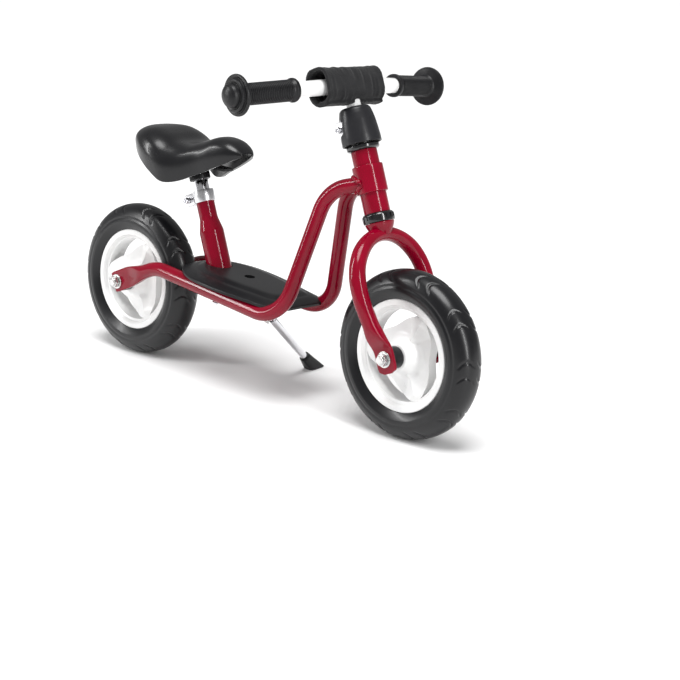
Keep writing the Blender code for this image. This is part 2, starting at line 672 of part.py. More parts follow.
def grip(sign, side):
    """Rubber grip: inner collar, barrel, stepped safety flange and domed end."""
    bore = BAR_R + GAP
    outline = [(bore, GRIP_START), (0.0135, GRIP_START), (0.0142, GRIP_START + 0.0015),
               (0.0142, GRIP_START + 0.0050), (0.0128, GRIP_START + 0.0065),
               (0.0122, GRIP_FLANGE - 0.0050), (0.0225, GRIP_FLANGE - 0.0020),
               (0.0242, GRIP_FLANGE), (0.0225, GRIP_FLANGE + 0.0030),
               (0.0205, GRIP_FLANGE + 0.0035), (0.0195, GRIP_FLANGE + 0.0065),
               (0.0165, GRIP_FLANGE + 0.0072), (0.0150, GRIP_FLANGE + 0.0110),
               (0.0100, GRIP_FLANGE + 0.0155), (0, GRIP_TIP), (0, BAR_END + GAP),
               (bore, BAR_END + GAP)]
    outline = [(radius, sign * along) for radius, along in outline]
    holder = empty("grip_%s_guide" % side, bar,
                   matrix=Matrix.Translation((0, sign * BAR_STRAIGHT, 0))
                   @ Matrix.Rotation(sign * BAR_SWEEP, 4, "Z"))
    piece("grip_" + side, lathe(outline, 16, "Y"), holder, RUBBER)


grip(1, "left")
grip(-1, "right")


PAD_RIGHT, PAD_LEFT = -0.0520, 0.0420


def bar_pad():
    """Padded sleeve round the middle of the bar, slit underneath for the stem."""
    bm = bmesh.new()
    outline = []
    for k in range(12):
        turn = 2 * pi * (k + 0.5) / 12
        c, s = cos(turn), sin(turn)
        outline.append((-0.0015 + 0.0190 * copysign(abs(c) ** 0.7, c),
                        0.0015 + 0.0230 * copysign(abs(s) ** 0.7, s)))
    face = bm.faces.new([bm.verts.new((x, PAD_RIGHT, z)) for x, z in outline])
    moved = bmesh.ops.extrude_face_region(bm, geom=[face])["geom"]
    bmesh.ops.translate(bm, vec=(0, PAD_LEFT - PAD_RIGHT, 0),
                        verts=[g for g in moved if isinstance(g, bmesh.types.BMVert)])
    pad = piece("bar_pad", bm, bar, dict(colour=BLACK, roughness=0.9))
    cut(pad, cutter("pad_bore", sweep(bar_path(), lambda p, k: (BAR_R + 0.0010, BAR_R + 0.0010, 2),
                                      FORWARD, 12), bar))
    cut(pad, cutter("pad_slit", rod(STEM_R + 0.0010, -0.04, 0.0, 14), bar))


bar_pad()

# ---------------------------------------------------------------- side stand
pivot_at = Vector(STAND_PIVOT)
toe_at = Vector(STAND_TOE)
fold = Vector(STAND_AXIS).normalized()
down_leg = toe_at - pivot_at
down_leg = (down_leg - fold * down_leg.dot(fold)).normalized()
stand_frame = Matrix((down_leg, fold.cross(down_leg), fold)).transposed().to_4x4()
stand = empty("stand", bike, matrix=Matrix.Translation(pivot_at) @ stand_frame)
LEG_LENGTH = (toe_at - pivot_at).length


def slab(name, parent, outline, low, high, finish, holes=()):
    bm = bmesh.new()
    face = bm.faces.new([bm.verts.new((x, y, low)) for x, y in outline])
    moved = bmesh.ops.extrude_face_region(bm, geom=[face])["geom"]
    bmesh.ops.translate(bm, vec=(0, 0, high - low),
                        verts=[g for g in moved if isinstance(g, bmesh.types.BMVert)])
    obj = piece(name, bm, parent, finish)
    for tool in holes:
        cut(obj, tool)
    return obj


def disc(radius, count=14):
    return [(radius * cos(2 * pi * k / count), radius * sin(2 * pi * k / count))
            for k in range(count)]


pivot_hole = cutter("pivot_hole", rod(0.0033, -0.03, 0.03, 16), stand)
EYE = 0.0090
slab("stand_plate", stand, disc(EYE, 20), -0.0020, 0.0020, BRIGHT, [pivot_hole])
along_leg = empty("along_leg", stand, matrix=Matrix.Rotation(pi / 2, 4, "Y"))
piece("stand_leg", rod(LEG_R, EYE + GAP, LEG_LENGTH - 0.0150, 14, "Z", 0.0006), along_leg, BRIGHT)
bolt = [(0, -0.0092), (0.0052, -0.0092), (0.0052, -0.0066), (0.0030, -0.0066), (0.0030, 0.0125),
        (0, 0.0125)]
piece("stand_bolt", lathe(bolt, 14), stand, BRIGHT)
stand_nut = piece("stand_nut", rod(0.0100 / sqrt(3), 0.0062, 0.0105, 6), stand, BRIGHT)
cut(stand_nut, pivot_hole)


def stand_bracket():
    """Angle bracket welded under the front cross member; the leg turns against its flange."""
    bm = bmesh.new()
    half, front = 0.0072, 0.0050
    outline = [(front, 0.0023), (front, 0.0059), (-0.0080, 0.0059), (-0.0080, 0.0100), (-0.0150, 0.0100),
               (-0.0150, 0.0023)]
    face = bm.faces.new([bm.verts.new((x, -half, z)) for x, z in outline])
    moved = bmesh.ops.extrude_face_region(bm, geom=[face])["geom"]
    bmesh.ops.translate(bm, vec=(0, 2 * half, 0),
                        verts=[g for g in moved if isinstance(g, bmesh.types.BMVert)])
    bracket = piece("stand_bracket", bm, stand, PAINT)
    cut(bracket, pivot_hole)
    cut(bracket, cutter("bridge_guide", rod(BRIDGE_R + GAP, -0.05, 0.05, 20, "Y"), bike,
                        BRIDGE_FRONT))


stand_bracket()


def stand_spring():
    """Torsion spring wound round the pivot bolt, under the leg's eye."""
    wire, radius, turns, low, tall = 0.0006, 0.0045, 2.5, -0.0057, 0.0028
    curve = bpy.data.curves.new("stand_spring", "CURVE")
    curve.dimensions = "3D"
    curve.bevel_depth = wire
    curve.bevel_resolution = 0
    curve.use_fill_caps = True
    count = int(turns * 8)
    spline = curve.splines.new("POLY")
    spline.points.add(count)
    for k in range(count + 1):
        turn = 2 * pi * turns * k / count
        height = low + tall * k / count
        spline.points[k].co = (radius * cos(turn), radius * sin(turn), height, 1)
    curve.materials.append(material("stand_spring", **BRIGHT))
    obj = bpy.data.objects.new("stand_spring", curve)
    bpy.context.collection.objects.link(obj)
    obj.parent = stand


stand_spring()


def tyre_low():
    """Height of the leaned tyre's lowest facet above the bike's own origin."""
    flat = cos(pi / TYRE_STEPS)
    return min((WHEEL_R - radius * flat) * cos(LEAN) - offset * sin(LEAN)
               for radius, offset in tyre_outline())


def stand_foot():
    """Flared rubber shoe on the leg's end; its sole is flat on the floor when the bike leans."""
    floor = Vector((0, -sin(LEAN), cos(LEAN)))
    bm = bmesh.new()
    leg_dir = (toe_at - pivot_at).normalized()
    wide = Vector((0, cos(LEAN), sin(LEAN)))
    sole_at = toe_at - floor * (toe_at.dot(floor) - tyre_low())
    loops = []
    count = 16
    for along, radius, squareness, half_wide, half_deep, level_sole in (
            (0.0340, 0.0, 0.0, 0.0078, 0.0078, 0.0), (0.0230, 0.0, 0.3, 0.0088, 0.0082, 0.2),
            (0.0110, 0.0, 0.6, 0.0110, 0.0088, 0.6), (0.0030, 0.0, 0.8, 0.0130, 0.0093, 1.0),
            (0.0, 0.0, 0.8, 0.0130, 0.0093, 1.0)):
        normal = leg_dir.lerp(-floor, level_sole).normalized()
        across = (wide - normal * wide.dot(normal)).normalized()
        depth = normal.cross(across)
        if level_sole == 1.0:
            centre = sole_at + floor * along
        else:
            centre = sole_at - leg_dir * along
        power = 2.0 + 2.0 * squareness
        loop = []
        for k in range(count):
            turn = 2 * pi * (k + 0.5) / count
            c, s = cos(turn), sin(turn)
            loop.append(bm.verts.new(
                centre + across * (half_wide * copysign(abs(c) ** (2 / power), c))
                + depth * (half_deep * copysign(abs(s) ** (2 / power), s))))
        loops.append(loop)
    for near, far in zip(loops, loops[1:]):
        for i in range(count):
            j = (i + 1) % count
            bm.faces.new([near[i], near[j], far[j], far[i]])
    bm.faces.new(loops[0][::-1])
    bm.faces.new(loops[-1])
    foot = piece("stand_foot", bm, bike, RUBBER)
    cut(foot, cutter("leg_socket", rod(LEG_R + GAP, 0.0, LEG_LENGTH - 0.0147, 16), along_leg))


stand_foot()


# ---------------------------------------------------------------- lean it and set it on the floor
def stand_on_floor():
    """Lean the bike, then put the middle of its box's underside at the origin."""
    bike.rotation_euler = (-LEAN, 0, 0)
    bpy.context.view_layer.update()
    graph = bpy.context.evaluated_depsgraph_get()
    low = Vector((1e9, 1e9, 1e9))
    high = -low
    for obj in bpy.context.scene.objects:
        if obj.type == "EMPTY" or obj.hide_render:
            continue
        solid = obj.evaluated_get(graph)
        mesh = solid.to_mesh()
        for vert in mesh.vertices:
            place = solid.matrix_world @ vert.co
            low = Vector(map(min, low, place))
            high = Vector(map(max, high, place))
        solid.to_mesh_clear()
    bike.location = (-(low.x + high.x) / 2, -(low.y + high.y) / 2, -low.z)


stand_on_floor()
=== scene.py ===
"""The look of a toddler balance bike that leans on its side stand."""
import bpy
import bmesh
from math import asin, copysign, cos, exp, floor, pi, radians, sin, sqrt, tan
from mathutils import Matrix, Vector


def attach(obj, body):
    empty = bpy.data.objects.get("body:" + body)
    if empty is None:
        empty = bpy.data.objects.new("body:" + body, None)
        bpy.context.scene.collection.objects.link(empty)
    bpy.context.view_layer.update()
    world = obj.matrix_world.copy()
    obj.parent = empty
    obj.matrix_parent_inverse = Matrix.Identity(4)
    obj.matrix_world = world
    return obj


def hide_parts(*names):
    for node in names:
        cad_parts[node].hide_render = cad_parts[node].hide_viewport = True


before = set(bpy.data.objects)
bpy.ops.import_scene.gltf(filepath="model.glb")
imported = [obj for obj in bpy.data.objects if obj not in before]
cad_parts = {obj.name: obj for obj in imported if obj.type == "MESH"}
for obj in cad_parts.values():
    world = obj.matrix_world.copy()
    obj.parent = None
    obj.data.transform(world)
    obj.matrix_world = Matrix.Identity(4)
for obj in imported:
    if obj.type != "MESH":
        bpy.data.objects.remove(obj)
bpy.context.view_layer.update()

# ============================== the bike's own axes
# The bike is drawn upright, with its origin on the ground midway between the wheels, then leaned to
# the left onto its stand. The steering head and the seat tube both lean back by 22 degrees.
LEAN = radians(5.3)
UPRIGHT = Matrix.Translation((0, -0.03687, -0.00039)) @ Matrix.Rotation(-LEAN, 4, "X")
WHEEL_R, WHEELBASE = 0.1025, 0.4834
FRONT_HUB = UPRIGHT @ Matrix.Translation((WHEELBASE / 2, 0, WHEEL_R))
REAR_HUB = UPRIGHT @ Matrix.Translation((-WHEELBASE / 2, 0, WHEEL_R))
TILT = Matrix.Rotation(radians(-22), 4, "Y")
STEER = FRONT_HUB @ TILT
SEAT = UPRIGHT @ Matrix.Translation((-0.0902, 0, 0.1499)) @ TILT
ALONG_Y = Matrix.Rotation(radians(-90), 4, "X")

# ============================== frame tubes
# Two 19 mm steel tubes, bent from the rear dropouts under the footboard and up to the head, their
# rear ends pressed flat and slotted for the axle. Welded, then powder coated deep crimson.


def build(name, bm, place, mat, sharp=35):
    """A mesh object at the origin, unturned, with its place in its vertices."""
    bmesh.ops.remove_doubles(bm, verts=bm.verts, dist=1e-6)
    bmesh.ops.recalc_face_normals(bm, faces=bm.faces)
    mesh = bpy.data.meshes.new(name)
    bm.to_mesh(mesh)
    bm.free()
    mesh.transform(place)
    mesh.shade_smooth()
    mesh.set_sharp_from_angle(angle=radians(sharp))
    mesh.materials.append(mat)
    obj = bpy.data.objects.new("look_" + name.replace(" ", "_"), mesh)
    bpy.context.scene.collection.objects.link(obj)
    return obj


def show(obj, body, slot, *nodes):
    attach(obj, body)
    if nodes:
        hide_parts(*nodes)
    return obj


def settle(obj):
    """Bake the object's modifiers into its mesh."""
    bpy.context.view_layer.update()
    graph = bpy.context.evaluated_depsgraph_get()
    baked = bpy.data.meshes.new_from_object(obj.evaluated_get(graph))
    obj.modifiers.clear()
    obj.data = baked
    return obj


def cut_by(obj, *tools):
    for tool in tools:
        mod = obj.modifiers.new("cut", "BOOLEAN")
        mod.operation = "DIFFERENCE"
        mod.solver = "EXACT"
        mod.object = tool
    settle(obj)
    for tool in tools:
        bpy.data.objects.remove(tool, do_unlink=True)
    obj.data.shade_smooth()
    obj.data.set_sharp_from_angle(angle=radians(32))
    return obj


def turned(profile, steps=64, closed=True):
    """Revolve (radius, height) points about Z."""
    bm = bmesh.new()
    rings = [[bm.verts.new((r * cos(2 * pi * k / steps), r * sin(2 * pi * k / steps), h))
              for r, h in profile] for k in range(steps)]
    last = len(profile) if closed else len(profile) - 1
    for k in range(steps):
        a, b = rings[k], rings[(k + 1) % steps]
        for i in range(last):
            j = (i + 1) % len(profile)
            if profile[i][0] < 1e-9 and profile[j][0] < 1e-9:
                continue
            if profile[i][0] < 1e-9:
                bm.faces.new([a[i], a[j], b[j]])
            elif profile[j][0] < 1e-9:
                bm.faces.new([a[i], a[j], b[i]])
            else:
                bm.faces.new([a[i], a[j], b[j], b[i]])
    return bm


def rounded(points, radius=0.0006, steps=3):
    """Round every corner of a closed (radius, height) outline that is off the axis."""
    result = []
    count = len(points)
    for k in range(count):
        here = Vector(points[k])
        back = Vector(points[k - 1]) - here
        ahead = Vector(points[(k + 1) % count]) - here
        reach = min(radius, back.length * 0.42, ahead.length * 0.42)
        if here.x < 1e-9 or reach < 1e-6:
            result.append(tuple(here))
            continue
        a, b = here + back.normalized() * reach, here + ahead.normalized() * reach
        for i in range(steps + 1):
            t = i / steps
            p = a * (1 - t) ** 2 + here * 2 * t * (1 - t) + b * t * t
            result.append((max(p.x, 0.0), p.y))
    return result


def rod(radius, low, high, steps=40, edge=0.0006):
    return turned(rounded([(0, low), (radius, low), (radius, high), (0, high)], edge), steps)


def bent(corners, radii, step=radians(4)):
    """Polyline through the corners with each inner corner turned on a radius."""
    path = [Vector(corners[0])]
    for k in range(1, len(corners) - 1):
        here = Vector(corners[k])
        back = (Vector(corners[k - 1]) - here).normalized()
        ahead = (Vector(corners[k + 1]) - here).normalized()
        turn = pi - back.angle(ahead)
        reach = radii[k - 1] * tan(turn / 2)
        centre = here + (back + ahead).normalized() * (radii[k - 1] / cos(turn / 2))
        start = here + back * reach - centre
        axis = start.cross(here + ahead * reach - centre).normalized()
        count = max(2, int(turn / step + 0.5))
        path += [centre + Matrix.Rotation(turn * i / count, 3, axis) @ start
                 for i in range(count + 1)]
    path.append(Vector(corners[-1]))
    return path


def dense(path, longest):
    result = [path[0]]
    for a, b in zip(path, path[1:]):
        count = max(1, int((b - a).length / longest + 0.5))
        result += [a.lerp(b, i / count) for i in range(1, count + 1)]
    return result


def joined(bm, loops, around=False):
    """Faces between rings of equal length, in order, back to the first ring if around."""
    pairs = list(zip(loops, loops[1:])) + ([(loops[-1], loops[0])] if around else [])
    for near, far in pairs:
        for i in range(len(near)):
            j = (i + 1) % len(near)
            bm.faces.new([near[i], near[j], far[j], far[i]])


def swept(path, section, side, sides=32, loop=False):
    """Skin a path. section(point, index) gives half height, half width along side, squareness."""
    bm = bmesh.new()
    loops = []
    last = len(path) - 1
    for k, point in enumerate(path):
        if loop:
            tangent = (path[(k + 1) % len(path)] - path[k - 1]).normalized()
        else:
            tangent = (path[min(k + 1, last)] - path[max(k - 1, 0)]).normalized()
        across = (side - tangent * side.dot(tangent)).normalized()
        up = tangent.cross(across)
        half_up, half_side, square = section(point, k)
        ring = []
        for i in range(sides):
            turn = 2 * pi * (i + 0.5) / sides
            c, s = cos(turn), sin(turn)
            ring.append(bm.verts.new(
                point + across * (copysign(abs(c) ** (2 / square), c) * half_side)
                + up * (copysign(abs(s) ** (2 / square), s) * half_up)))
        loops.append(ring)
    joined(bm, loops, loop)
    if not loop:
        bm.faces.new(loops[0][::-1])
        bm.faces.new(loops[-1])
    return bm


def ease(value, low, high):
    t = min(1.0, max(0.0, (value - low) / (high - low)))
    return t * t * (3 - 2 * t)


def surface(name, light, dark, rough, metal=0.0, coat=0.0, grain=400.0, bump=0.15, depth=0.0002,
            patch=18.0, pattern="noise", sheen=0.0, shine=0.5):
    """Principled material: a slow mottle between two shades, a fine grain in the relief, and
    roughness that drifts with the mottle."""
    mat = bpy.data.materials.new(name)
    mat.use_nodes = True
    tree = mat.node_tree
    shader = tree.nodes["Principled BSDF"]
    place = tree.nodes.new("ShaderNodeTexCoord")

    def node(kind, **values):
        made = tree.nodes.new(kind)
        for key, value in values.items():
            made.inputs[key].default_value = value
        return made

    slow = node("ShaderNodeTexNoise", Scale=patch, Detail=5.0, Roughness=0.6)
    tree.links.new(place.outputs["Object"], slow.inputs["Vector"])
    mix = tree.nodes.new("ShaderNodeMix")
    mix.data_type = "RGBA"
    mix.inputs[6].default_value = (*dark, 1)
    mix.inputs[7].default_value = (*light, 1)
    spread = node("ShaderNodeMapRange")
    spread.inputs["From Min"].default_value = 0.35
    spread.inputs["From Max"].default_value = 0.65
    tree.links.new(slow.outputs["Fac"], spread.inputs["Value"])
    tree.links.new(spread.outputs["Result"], mix.inputs[0])
    tree.links.new(mix.outputs[2], shader.inputs["Base Color"])
    drift = node("ShaderNodeMapRange")
    drift.inputs["To Min"].default_value = rough[0]
    drift.inputs["To Max"].default_value = rough[1]
    tree.links.new(slow.outputs["Fac"], drift.inputs["Value"])
    tree.links.new(drift.outputs["Result"], shader.inputs["Roughness"])
    if pattern == "voronoi":
        fine = node("ShaderNodeTexVoronoi", Scale=grain)
        height = fine.outputs["Distance"]
    else:
        fine = node("ShaderNodeTexNoise", Scale=grain, Detail=3.0)
        height = fine.outputs["Fac"]
    tree.links.new(place.outputs["Object"], fine.inputs["Vector"])
    relief = node("ShaderNodeBump", Strength=bump, Distance=depth)
    tree.links.new(height, relief.inputs["Height"])
    tree.links.new(relief.outputs["Normal"], shader.inputs["Normal"])
    shader.inputs["Metallic"].default_value = metal
    shader.inputs["Coat Weight"].default_value = coat
    shader.inputs["Coat Roughness"].default_value = 0.04
    shader.inputs["Sheen Weight"].default_value = sheen
    shader.inputs["Specular IOR Level"].default_value = shine
    return mat


PAINT = surface("crimson powder coat", (0.215, 0.0003, 0.014), (0.175, 0.0002, 0.010), (0.10, 0.16),
                shine=0.25, grain=900, bump=0.05, depth=0.00012, patch=30)
FRAME_R, SLEEVE_R, PLATE, HUB_HALF = 0.0095, 0.0188, 0.0040, 0.0400
PLATE_TILT = radians(24)
rear_end = Vector((-WHEELBASE / 2 - 0.0065 * cos(PLATE_TILT), HUB_HALF + PLATE / 2,
                   WHEEL_R - 0.0065 * sin(PLATE_TILT)))
crimp = rear_end + Vector((0.0345 * cos(PLATE_TILT), 0, 0.0345 * sin(PLATE_TILT)))
TUBE_CORNERS = [rear_end, crimp, (-0.1635, 0.0425, 0.1359), (0.0705, 0.0460, 0.1115),
                (0.1115, 0.0178, 0.2817), (0.1600, 0.0104, 0.2945)]


def frame_section(point, index):
    flat = 1 - ease(point.x, crimp.x - 0.006, crimp.x + 0.032)
    tip = 1 - ease(point.x, rear_end.x - 0.001, rear_end.x + 0.003)
    nose = ease(point.x, 0.125, 0.158)
    return (FRAME_R + (0.0140 - FRAME_R) * flat - 0.0010 * tip,
            FRAME_R + (PLATE / 2 - FRAME_R) * flat - 0.0008 * nose, 2.0 + 6.0 * flat)


Y = Vector((0, 1, 0))
INTO_STEER = STEER.inverted() @ UPRIGHT
for sign, side in ((1, "left"), (-1, "right")):
    route = bent([Vector((p[0], sign * p[1], p[2])) for p in TUBE_CORNERS],
                 [0.090, 0.060, 0.050, 0.048])
    route = dense(route, 0.004)
    tube = build("frame tube " + side, swept(route, frame_section, Y, 36), UPRIGHT, PAINT, 50)
    slot = bmesh.new()
    bmesh.ops.create_cube(slot, size=1.0)
    bmesh.ops.scale(slot, vec=(0.0140, 0.12, 0.0104), verts=slot.verts)
    bmesh.ops.translate(slot, vec=(-0.0072, 0, 0), verts=slot.verts)
    turn = Matrix.Rotation(-PLATE_TILT, 4, "Y")
    cut_by(tube, build("slot", slot, REAR_HUB @ turn, PAINT),
           build("slot end", rod(0.0052, -0.06, 0.06), REAR_HUB @ ALONG_Y, PAINT),
           build("head way", rod(0.0175, 0.17, 0.26, 64), STEER, PAINT))
    show(tube, "frame", "red_paint", "frame_tube_" + side)
    # weld bead where the tube meets the sleeve
    tail = [INTO_STEER @ p for p in route if (INTO_STEER @ p).xy.length > SLEEVE_R - 0.004]
    end, before = tail[-1], tail[-5]
    run = (end - before).normalized()
    across = run.cross(Vector((0, 0, 1))).normalized()
    over = across.cross(run)
    bead = []
    for k in range(48):
        turn_by = 2 * pi * k / 48
        start = end - run * 0.03 + (across * cos(turn_by) + over * sin(turn_by)) * 0.0096
        a = run.x ** 2 + run.y ** 2
        b = start.x * run.x + start.y * run.y
        c = start.x ** 2 + start.y ** 2 - (SLEEVE_R + 0.0004) ** 2
        root = b * b - a * c
        if root > 0:
            bead.append(start + run * ((-b - sqrt(root)) / a))
    ripple = lambda p, k: (0.0028 + 0.0003 * sin(k * 1.9), 0.0028 + 0.0003 * sin(k * 1.9), 2.0)
    weld = build("head weld " + side, swept(bead, ripple, Vector((0.1, 0.2, 1)), 10, loop=True),
                 STEER, PAINT, 80)
    show(weld, "frame", "red_paint")

# ============================== head tube
# A 32 mm steel tube with a shorter sleeve round it that takes the two frame tubes' welds.
HEAD_R = 0.0159


def pipe(outer, inner, low, high, steps=48, edge=0.0005):
    return turned(rounded([(inner, low), (outer, low), (outer, high), (inner, high)], edge), steps)


head = build("head tube", pipe(HEAD_R, 0.0138, 0.1718, 0.2480, 72), STEER, PAINT)
show(head, "frame", "red_paint", "head_tube")
sleeve = [(HEAD_R + 0.0002, 0.1962), (SLEEVE_R, 0.1962), (SLEEVE_R, 0.2296),
          (HEAD_R + 0.0002, 0.2296)]
show(build("head sleeve", turned(rounded(sleeve, 0.0014, 5), 72), STEER, PAINT),
     "frame", "red_paint", "head_sleeve")

# ============================== headset
# Two glossy black plastic bushes pressed into the head tube. The lower one's rim carries a row of
# shallow notches round it.
BUSH = surface("black bush", (0.009, 0.009, 0.010), (0.005, 0.005, 0.006), (0.12, 0.22),
               coat=0.3, grain=700, bump=0.05)
BORE = 0.0128
low = [(BORE, 0.1605), (0.0190, 0.1605), (0.0195, 0.1640), (0.0195, 0.1690), (0.0176, 0.1716),
       (0.0135, 0.1716), (0.0135, 0.1850), (BORE, 0.1850)]
high = [(BORE, 0.2350), (0.0135, 0.2350), (0.0135, 0.2482), (0.0178, 0.2482), (0.0198, 0.2500),
        (0.0200, 0.2535), (0.0186, 0.2550), (BORE, 0.2550)]
lower = build("lower bush", turned(rounded(low, 0.0007), 72), STEER, BUSH)


def tree_with(name, **inputs):
    """New geometry tree with named inputs of the given kinds, and its two end nodes."""
    tree = bpy.data.node_groups.new(name, "GeometryNodeTree")
    kinds = {"Geometry": "Geometry", **inputs, "Material": "Material"}
    for label, kind in kinds.items():
        tree.interface.new_socket(label, in_out="INPUT", socket_type="NodeSocket" + kind)
    tree.interface.new_socket("Geometry", in_out="OUTPUT", socket_type="NodeSocketGeometry")
    return tree, tree.nodes.new("NodeGroupInput"), tree.nodes.new("NodeGroupOutput")


def close_tree(tree, start, end, grown_mesh):
    """Realise the copies, give them the material and send them out."""
    real = tree.nodes.new("GeometryNodeRealizeInstances")
    coat = tree.nodes.new("GeometryNodeSetMaterial")
    tree.links.new(grown_mesh, real.inputs["Geometry"])
    tree.links.new(real.outputs["Geometry"], coat.inputs["Geometry"])
    tree.links.new(start.outputs["Material"], coat.inputs["Material"])
    tree.links.new(coat.outputs["Geometry"], end.inputs["Geometry"])
    return tree


def ring_tree(name):
    """Copies of one small mesh set evenly round a circle that lies across Z."""
    tree, start, end = tree_with(name, Count="Int", Radius="Float", Size="Vector")
    add, join = tree.nodes.new, tree.links.new
    circle = add("GeometryNodeMeshCircle")
    spin = add("FunctionNodeAlignRotationToVector")
    spin.axis = "X"
    where = add("GeometryNodeInputPosition")
    block = add("GeometryNodeMeshCube")
    each = add("GeometryNodeInstanceOnPoints")
    join(start.outputs["Count"], circle.inputs["Vertices"])
    join(start.outputs["Radius"], circle.inputs["Radius"])
    join(start.outputs["Size"], block.inputs["Size"])
    join(where.outputs["Position"], spin.inputs["Vector"])
    join(circle.outputs["Mesh"], each.inputs["Points"])
    join(block.outputs["Mesh"], each.inputs["Instance"])
    join(spin.outputs["Rotation"], each.inputs["Rotation"])
    return close_tree(tree, start, end, each.outputs["Instances"])


RING = ring_tree("blocks round a ring")


def grown(name, tree, place, mat, **values):
    """Run a geometry tree on an empty mesh and keep the result as a plain mesh in its place."""
    mesh = bpy.data.meshes.new(name)
    obj = bpy.data.objects.new("look_" + name.replace(" ", "_"), mesh)
    bpy.context.scene.collection.objects.link(obj)
    mod = obj.modifiers.new("grow", "NODES")
    mod.node_group = tree
    for item in tree.interface.items_tree:
        key = item.name.replace(" ", "_")
        if item.in_out == "INPUT" and key in values:
            mod[item.identifier] = values[key]
        elif item.in_out == "INPUT" and item.name == "Material":
            mod[item.identifier] = mat
    settle(obj)
    obj.data.transform(place)
    return obj


notches = grown("notches", RING, STEER @ Matrix.Translation((0, 0, 0.1665)), BUSH,
                Count=16, Radius=0.0200, Size=(0.0032, 0.0034, 0.0046))
cut_by(lower, notches)
show(lower, "frame", "black_moulding", "headset_bush_lower")
show(build("upper bush", turned(rounded(high, 0.0007), 72), STEER, BUSH),
     "frame", "black_moulding", "headset_bush_upper")

# ============================== seat tube and cross members
# A 32 mm tube swaged down to 24 mm at its neck, tied to the frame tubes by short stubs under the
# board.
seat_out = [(0.0098, -0.0260), (0.0160, -0.0260), (0.0160, 0.0430), (0.0157, 0.0455),
            (0.0148, 0.0490), (0.0134, 0.0550), (0.0124, 0.0590), (0.0120, 0.0625),
            (0.0120, 0.0965), (0.0098, 0.0965)]
show(build("seat tube", turned(rounded(seat_out, 0.0025, 5), 72), SEAT, PAINT, 50),
     "frame", "red_paint", "seat_tube")


def tube_y(x):
    start, end = TUBE_CORNERS[2], TUBE_CORNERS[3]
    return start[1] + (end[1] - start[1]) * (x - start[0]) / (end[0] - start[0])


for name, at in (("bridge_front", (0.0060, 0, 0.1200)), ("bridge_rear", (-0.1080, 0, 0.1300))):
    half = tube_y(at[0]) - FRAME_R
    bar_at = UPRIGHT @ Matrix.Translation(at) @ ALONG_Y
    member = turned([(0, -half), (0.0080, -half), (0.0070, 0.0020 - half), (0.0070, half - 0.0020),
                     (0.0080, half), (0, half)], 40)
    show(build(name.replace("_", " "), member, bar_at, PAINT), "frame", "red_paint", name)
for sign, side in ((1, "left"), (-1, "right")):
    at = UPRIGHT @ Matrix.Translation((-0.0824, 0, 0.1275)) @ ALONG_Y
    near, far = sorted((sign * 0.0155, sign * (tube_y(-0.0824) - FRAME_R)))
    show(build("seat stay " + side, rod(0.0070, near, far), at, PAINT),
         "frame", "red_paint", "seat_stay_" + side)

# ============================== clamps
# Split aluminium collars drawn up by a socket-head bolt through two ears: one on the seat tube's
# neck and one on the steerer, under the stem cover.
ALLOY = surface("tumbled alloy", (0.74, 0.74, 0.75), (0.62, 0.62, 0.64), (0.22, 0.38), metal=1.0,
                grain=1400, bump=0.12, depth=0.00008, patch=60)
CHROME = surface("bright plating", (0.80, 0.80, 0.82), (0.70, 0.70, 0.73), (0.05, 0.16), metal=1.0,
                 grain=600, bump=0.04, depth=0.00006, patch=45)


def prism(points, near, far, axis):
    """Solid between two copies of a flat outline, set apart along axis (1 for Y, 2 for Z)."""
    bm = bmesh.new()
    at = [(x, near, y) if axis == 1 else (x, y, near) for x, y in points]
    face = bm.faces.new([bm.verts.new(p) for p in at])
    moved = bmesh.ops.extrude_face_region(bm, geom=[face])["geom"]
    gap = (0, far - near, 0) if axis == 1 else (0, 0, far - near)
    bmesh.ops.translate(bm, vec=gap, verts=[g for g in moved if isinstance(g, bmesh.types.BMVert)])
    return bm


def collar(name, place, inner, outer, low, high, bolt_x, bolt_z, body, node):
    slit, ear, reach = 0.0012, 0.0078, 0.0145
    a_out, a_in = pi - asin(ear / outer), pi - asin(slit / inner)
    count = 56
    ring = [(outer * cos(a), outer * sin(a))
            for a in (a_out * (1 - 2 * k / count) for k in range(count + 1))]
    hole = [(inner * cos(a), inner * sin(a))
            for a in (a_in * (2 * k / count - 1) for k in range(count + 1))]
    corner = [(-outer - reach + 0.0012, ear), (-outer - reach, ear - 0.0012)]
    points = [(-outer - reach, slit)] + corner[::-1] + ring
    points += [(x, -y) for x, y in corner] + [(-outer - reach, -slit)] + hole
    obj = build(name, prism(points, low, high, 2), place, ALLOY)
    edge = obj.modifiers.new("edge", "BEVEL")
    edge.width, edge.segments, edge.limit_method = 0.0005, 2, "ANGLE"
    settle(obj)
    at = place @ Matrix.Translation((bolt_x, 0, bolt_z)) @ ALONG_Y
    cut_by(obj, build("hole", rod(0.0028, -0.02, 0.02), at, ALLOY))
    show(obj, body, "clamp_alloy", node)
    head = turned(rounded([(0, -0.0110), (0.0021, -0.0110), (0.0021, -0.0145), (0.0042, -0.0145),
                           (0.0042, -0.0082), (0.0024, -0.0082), (0.0024, 0.0120), (0, 0.0120)],
                          0.0004), 36)
    bolt = build(name + " bolt", head, place @ Matrix.Translation((bolt_x, 0, bolt_z)) @ ALONG_Y,
                 CHROME)
    show(bolt, body, "bright_steel", node + "_bolt")


collar("seat clamp", SEAT, 0.0123, 0.0140, 0.0830, 0.0985, -0.0225, 0.0907, "frame", "seat_clamp")
collar("stem clamp", STEER, 0.0128, 0.0158, 0.2685, 0.2885, -0.0215, 0.2785, "fork", "stem_clamp")

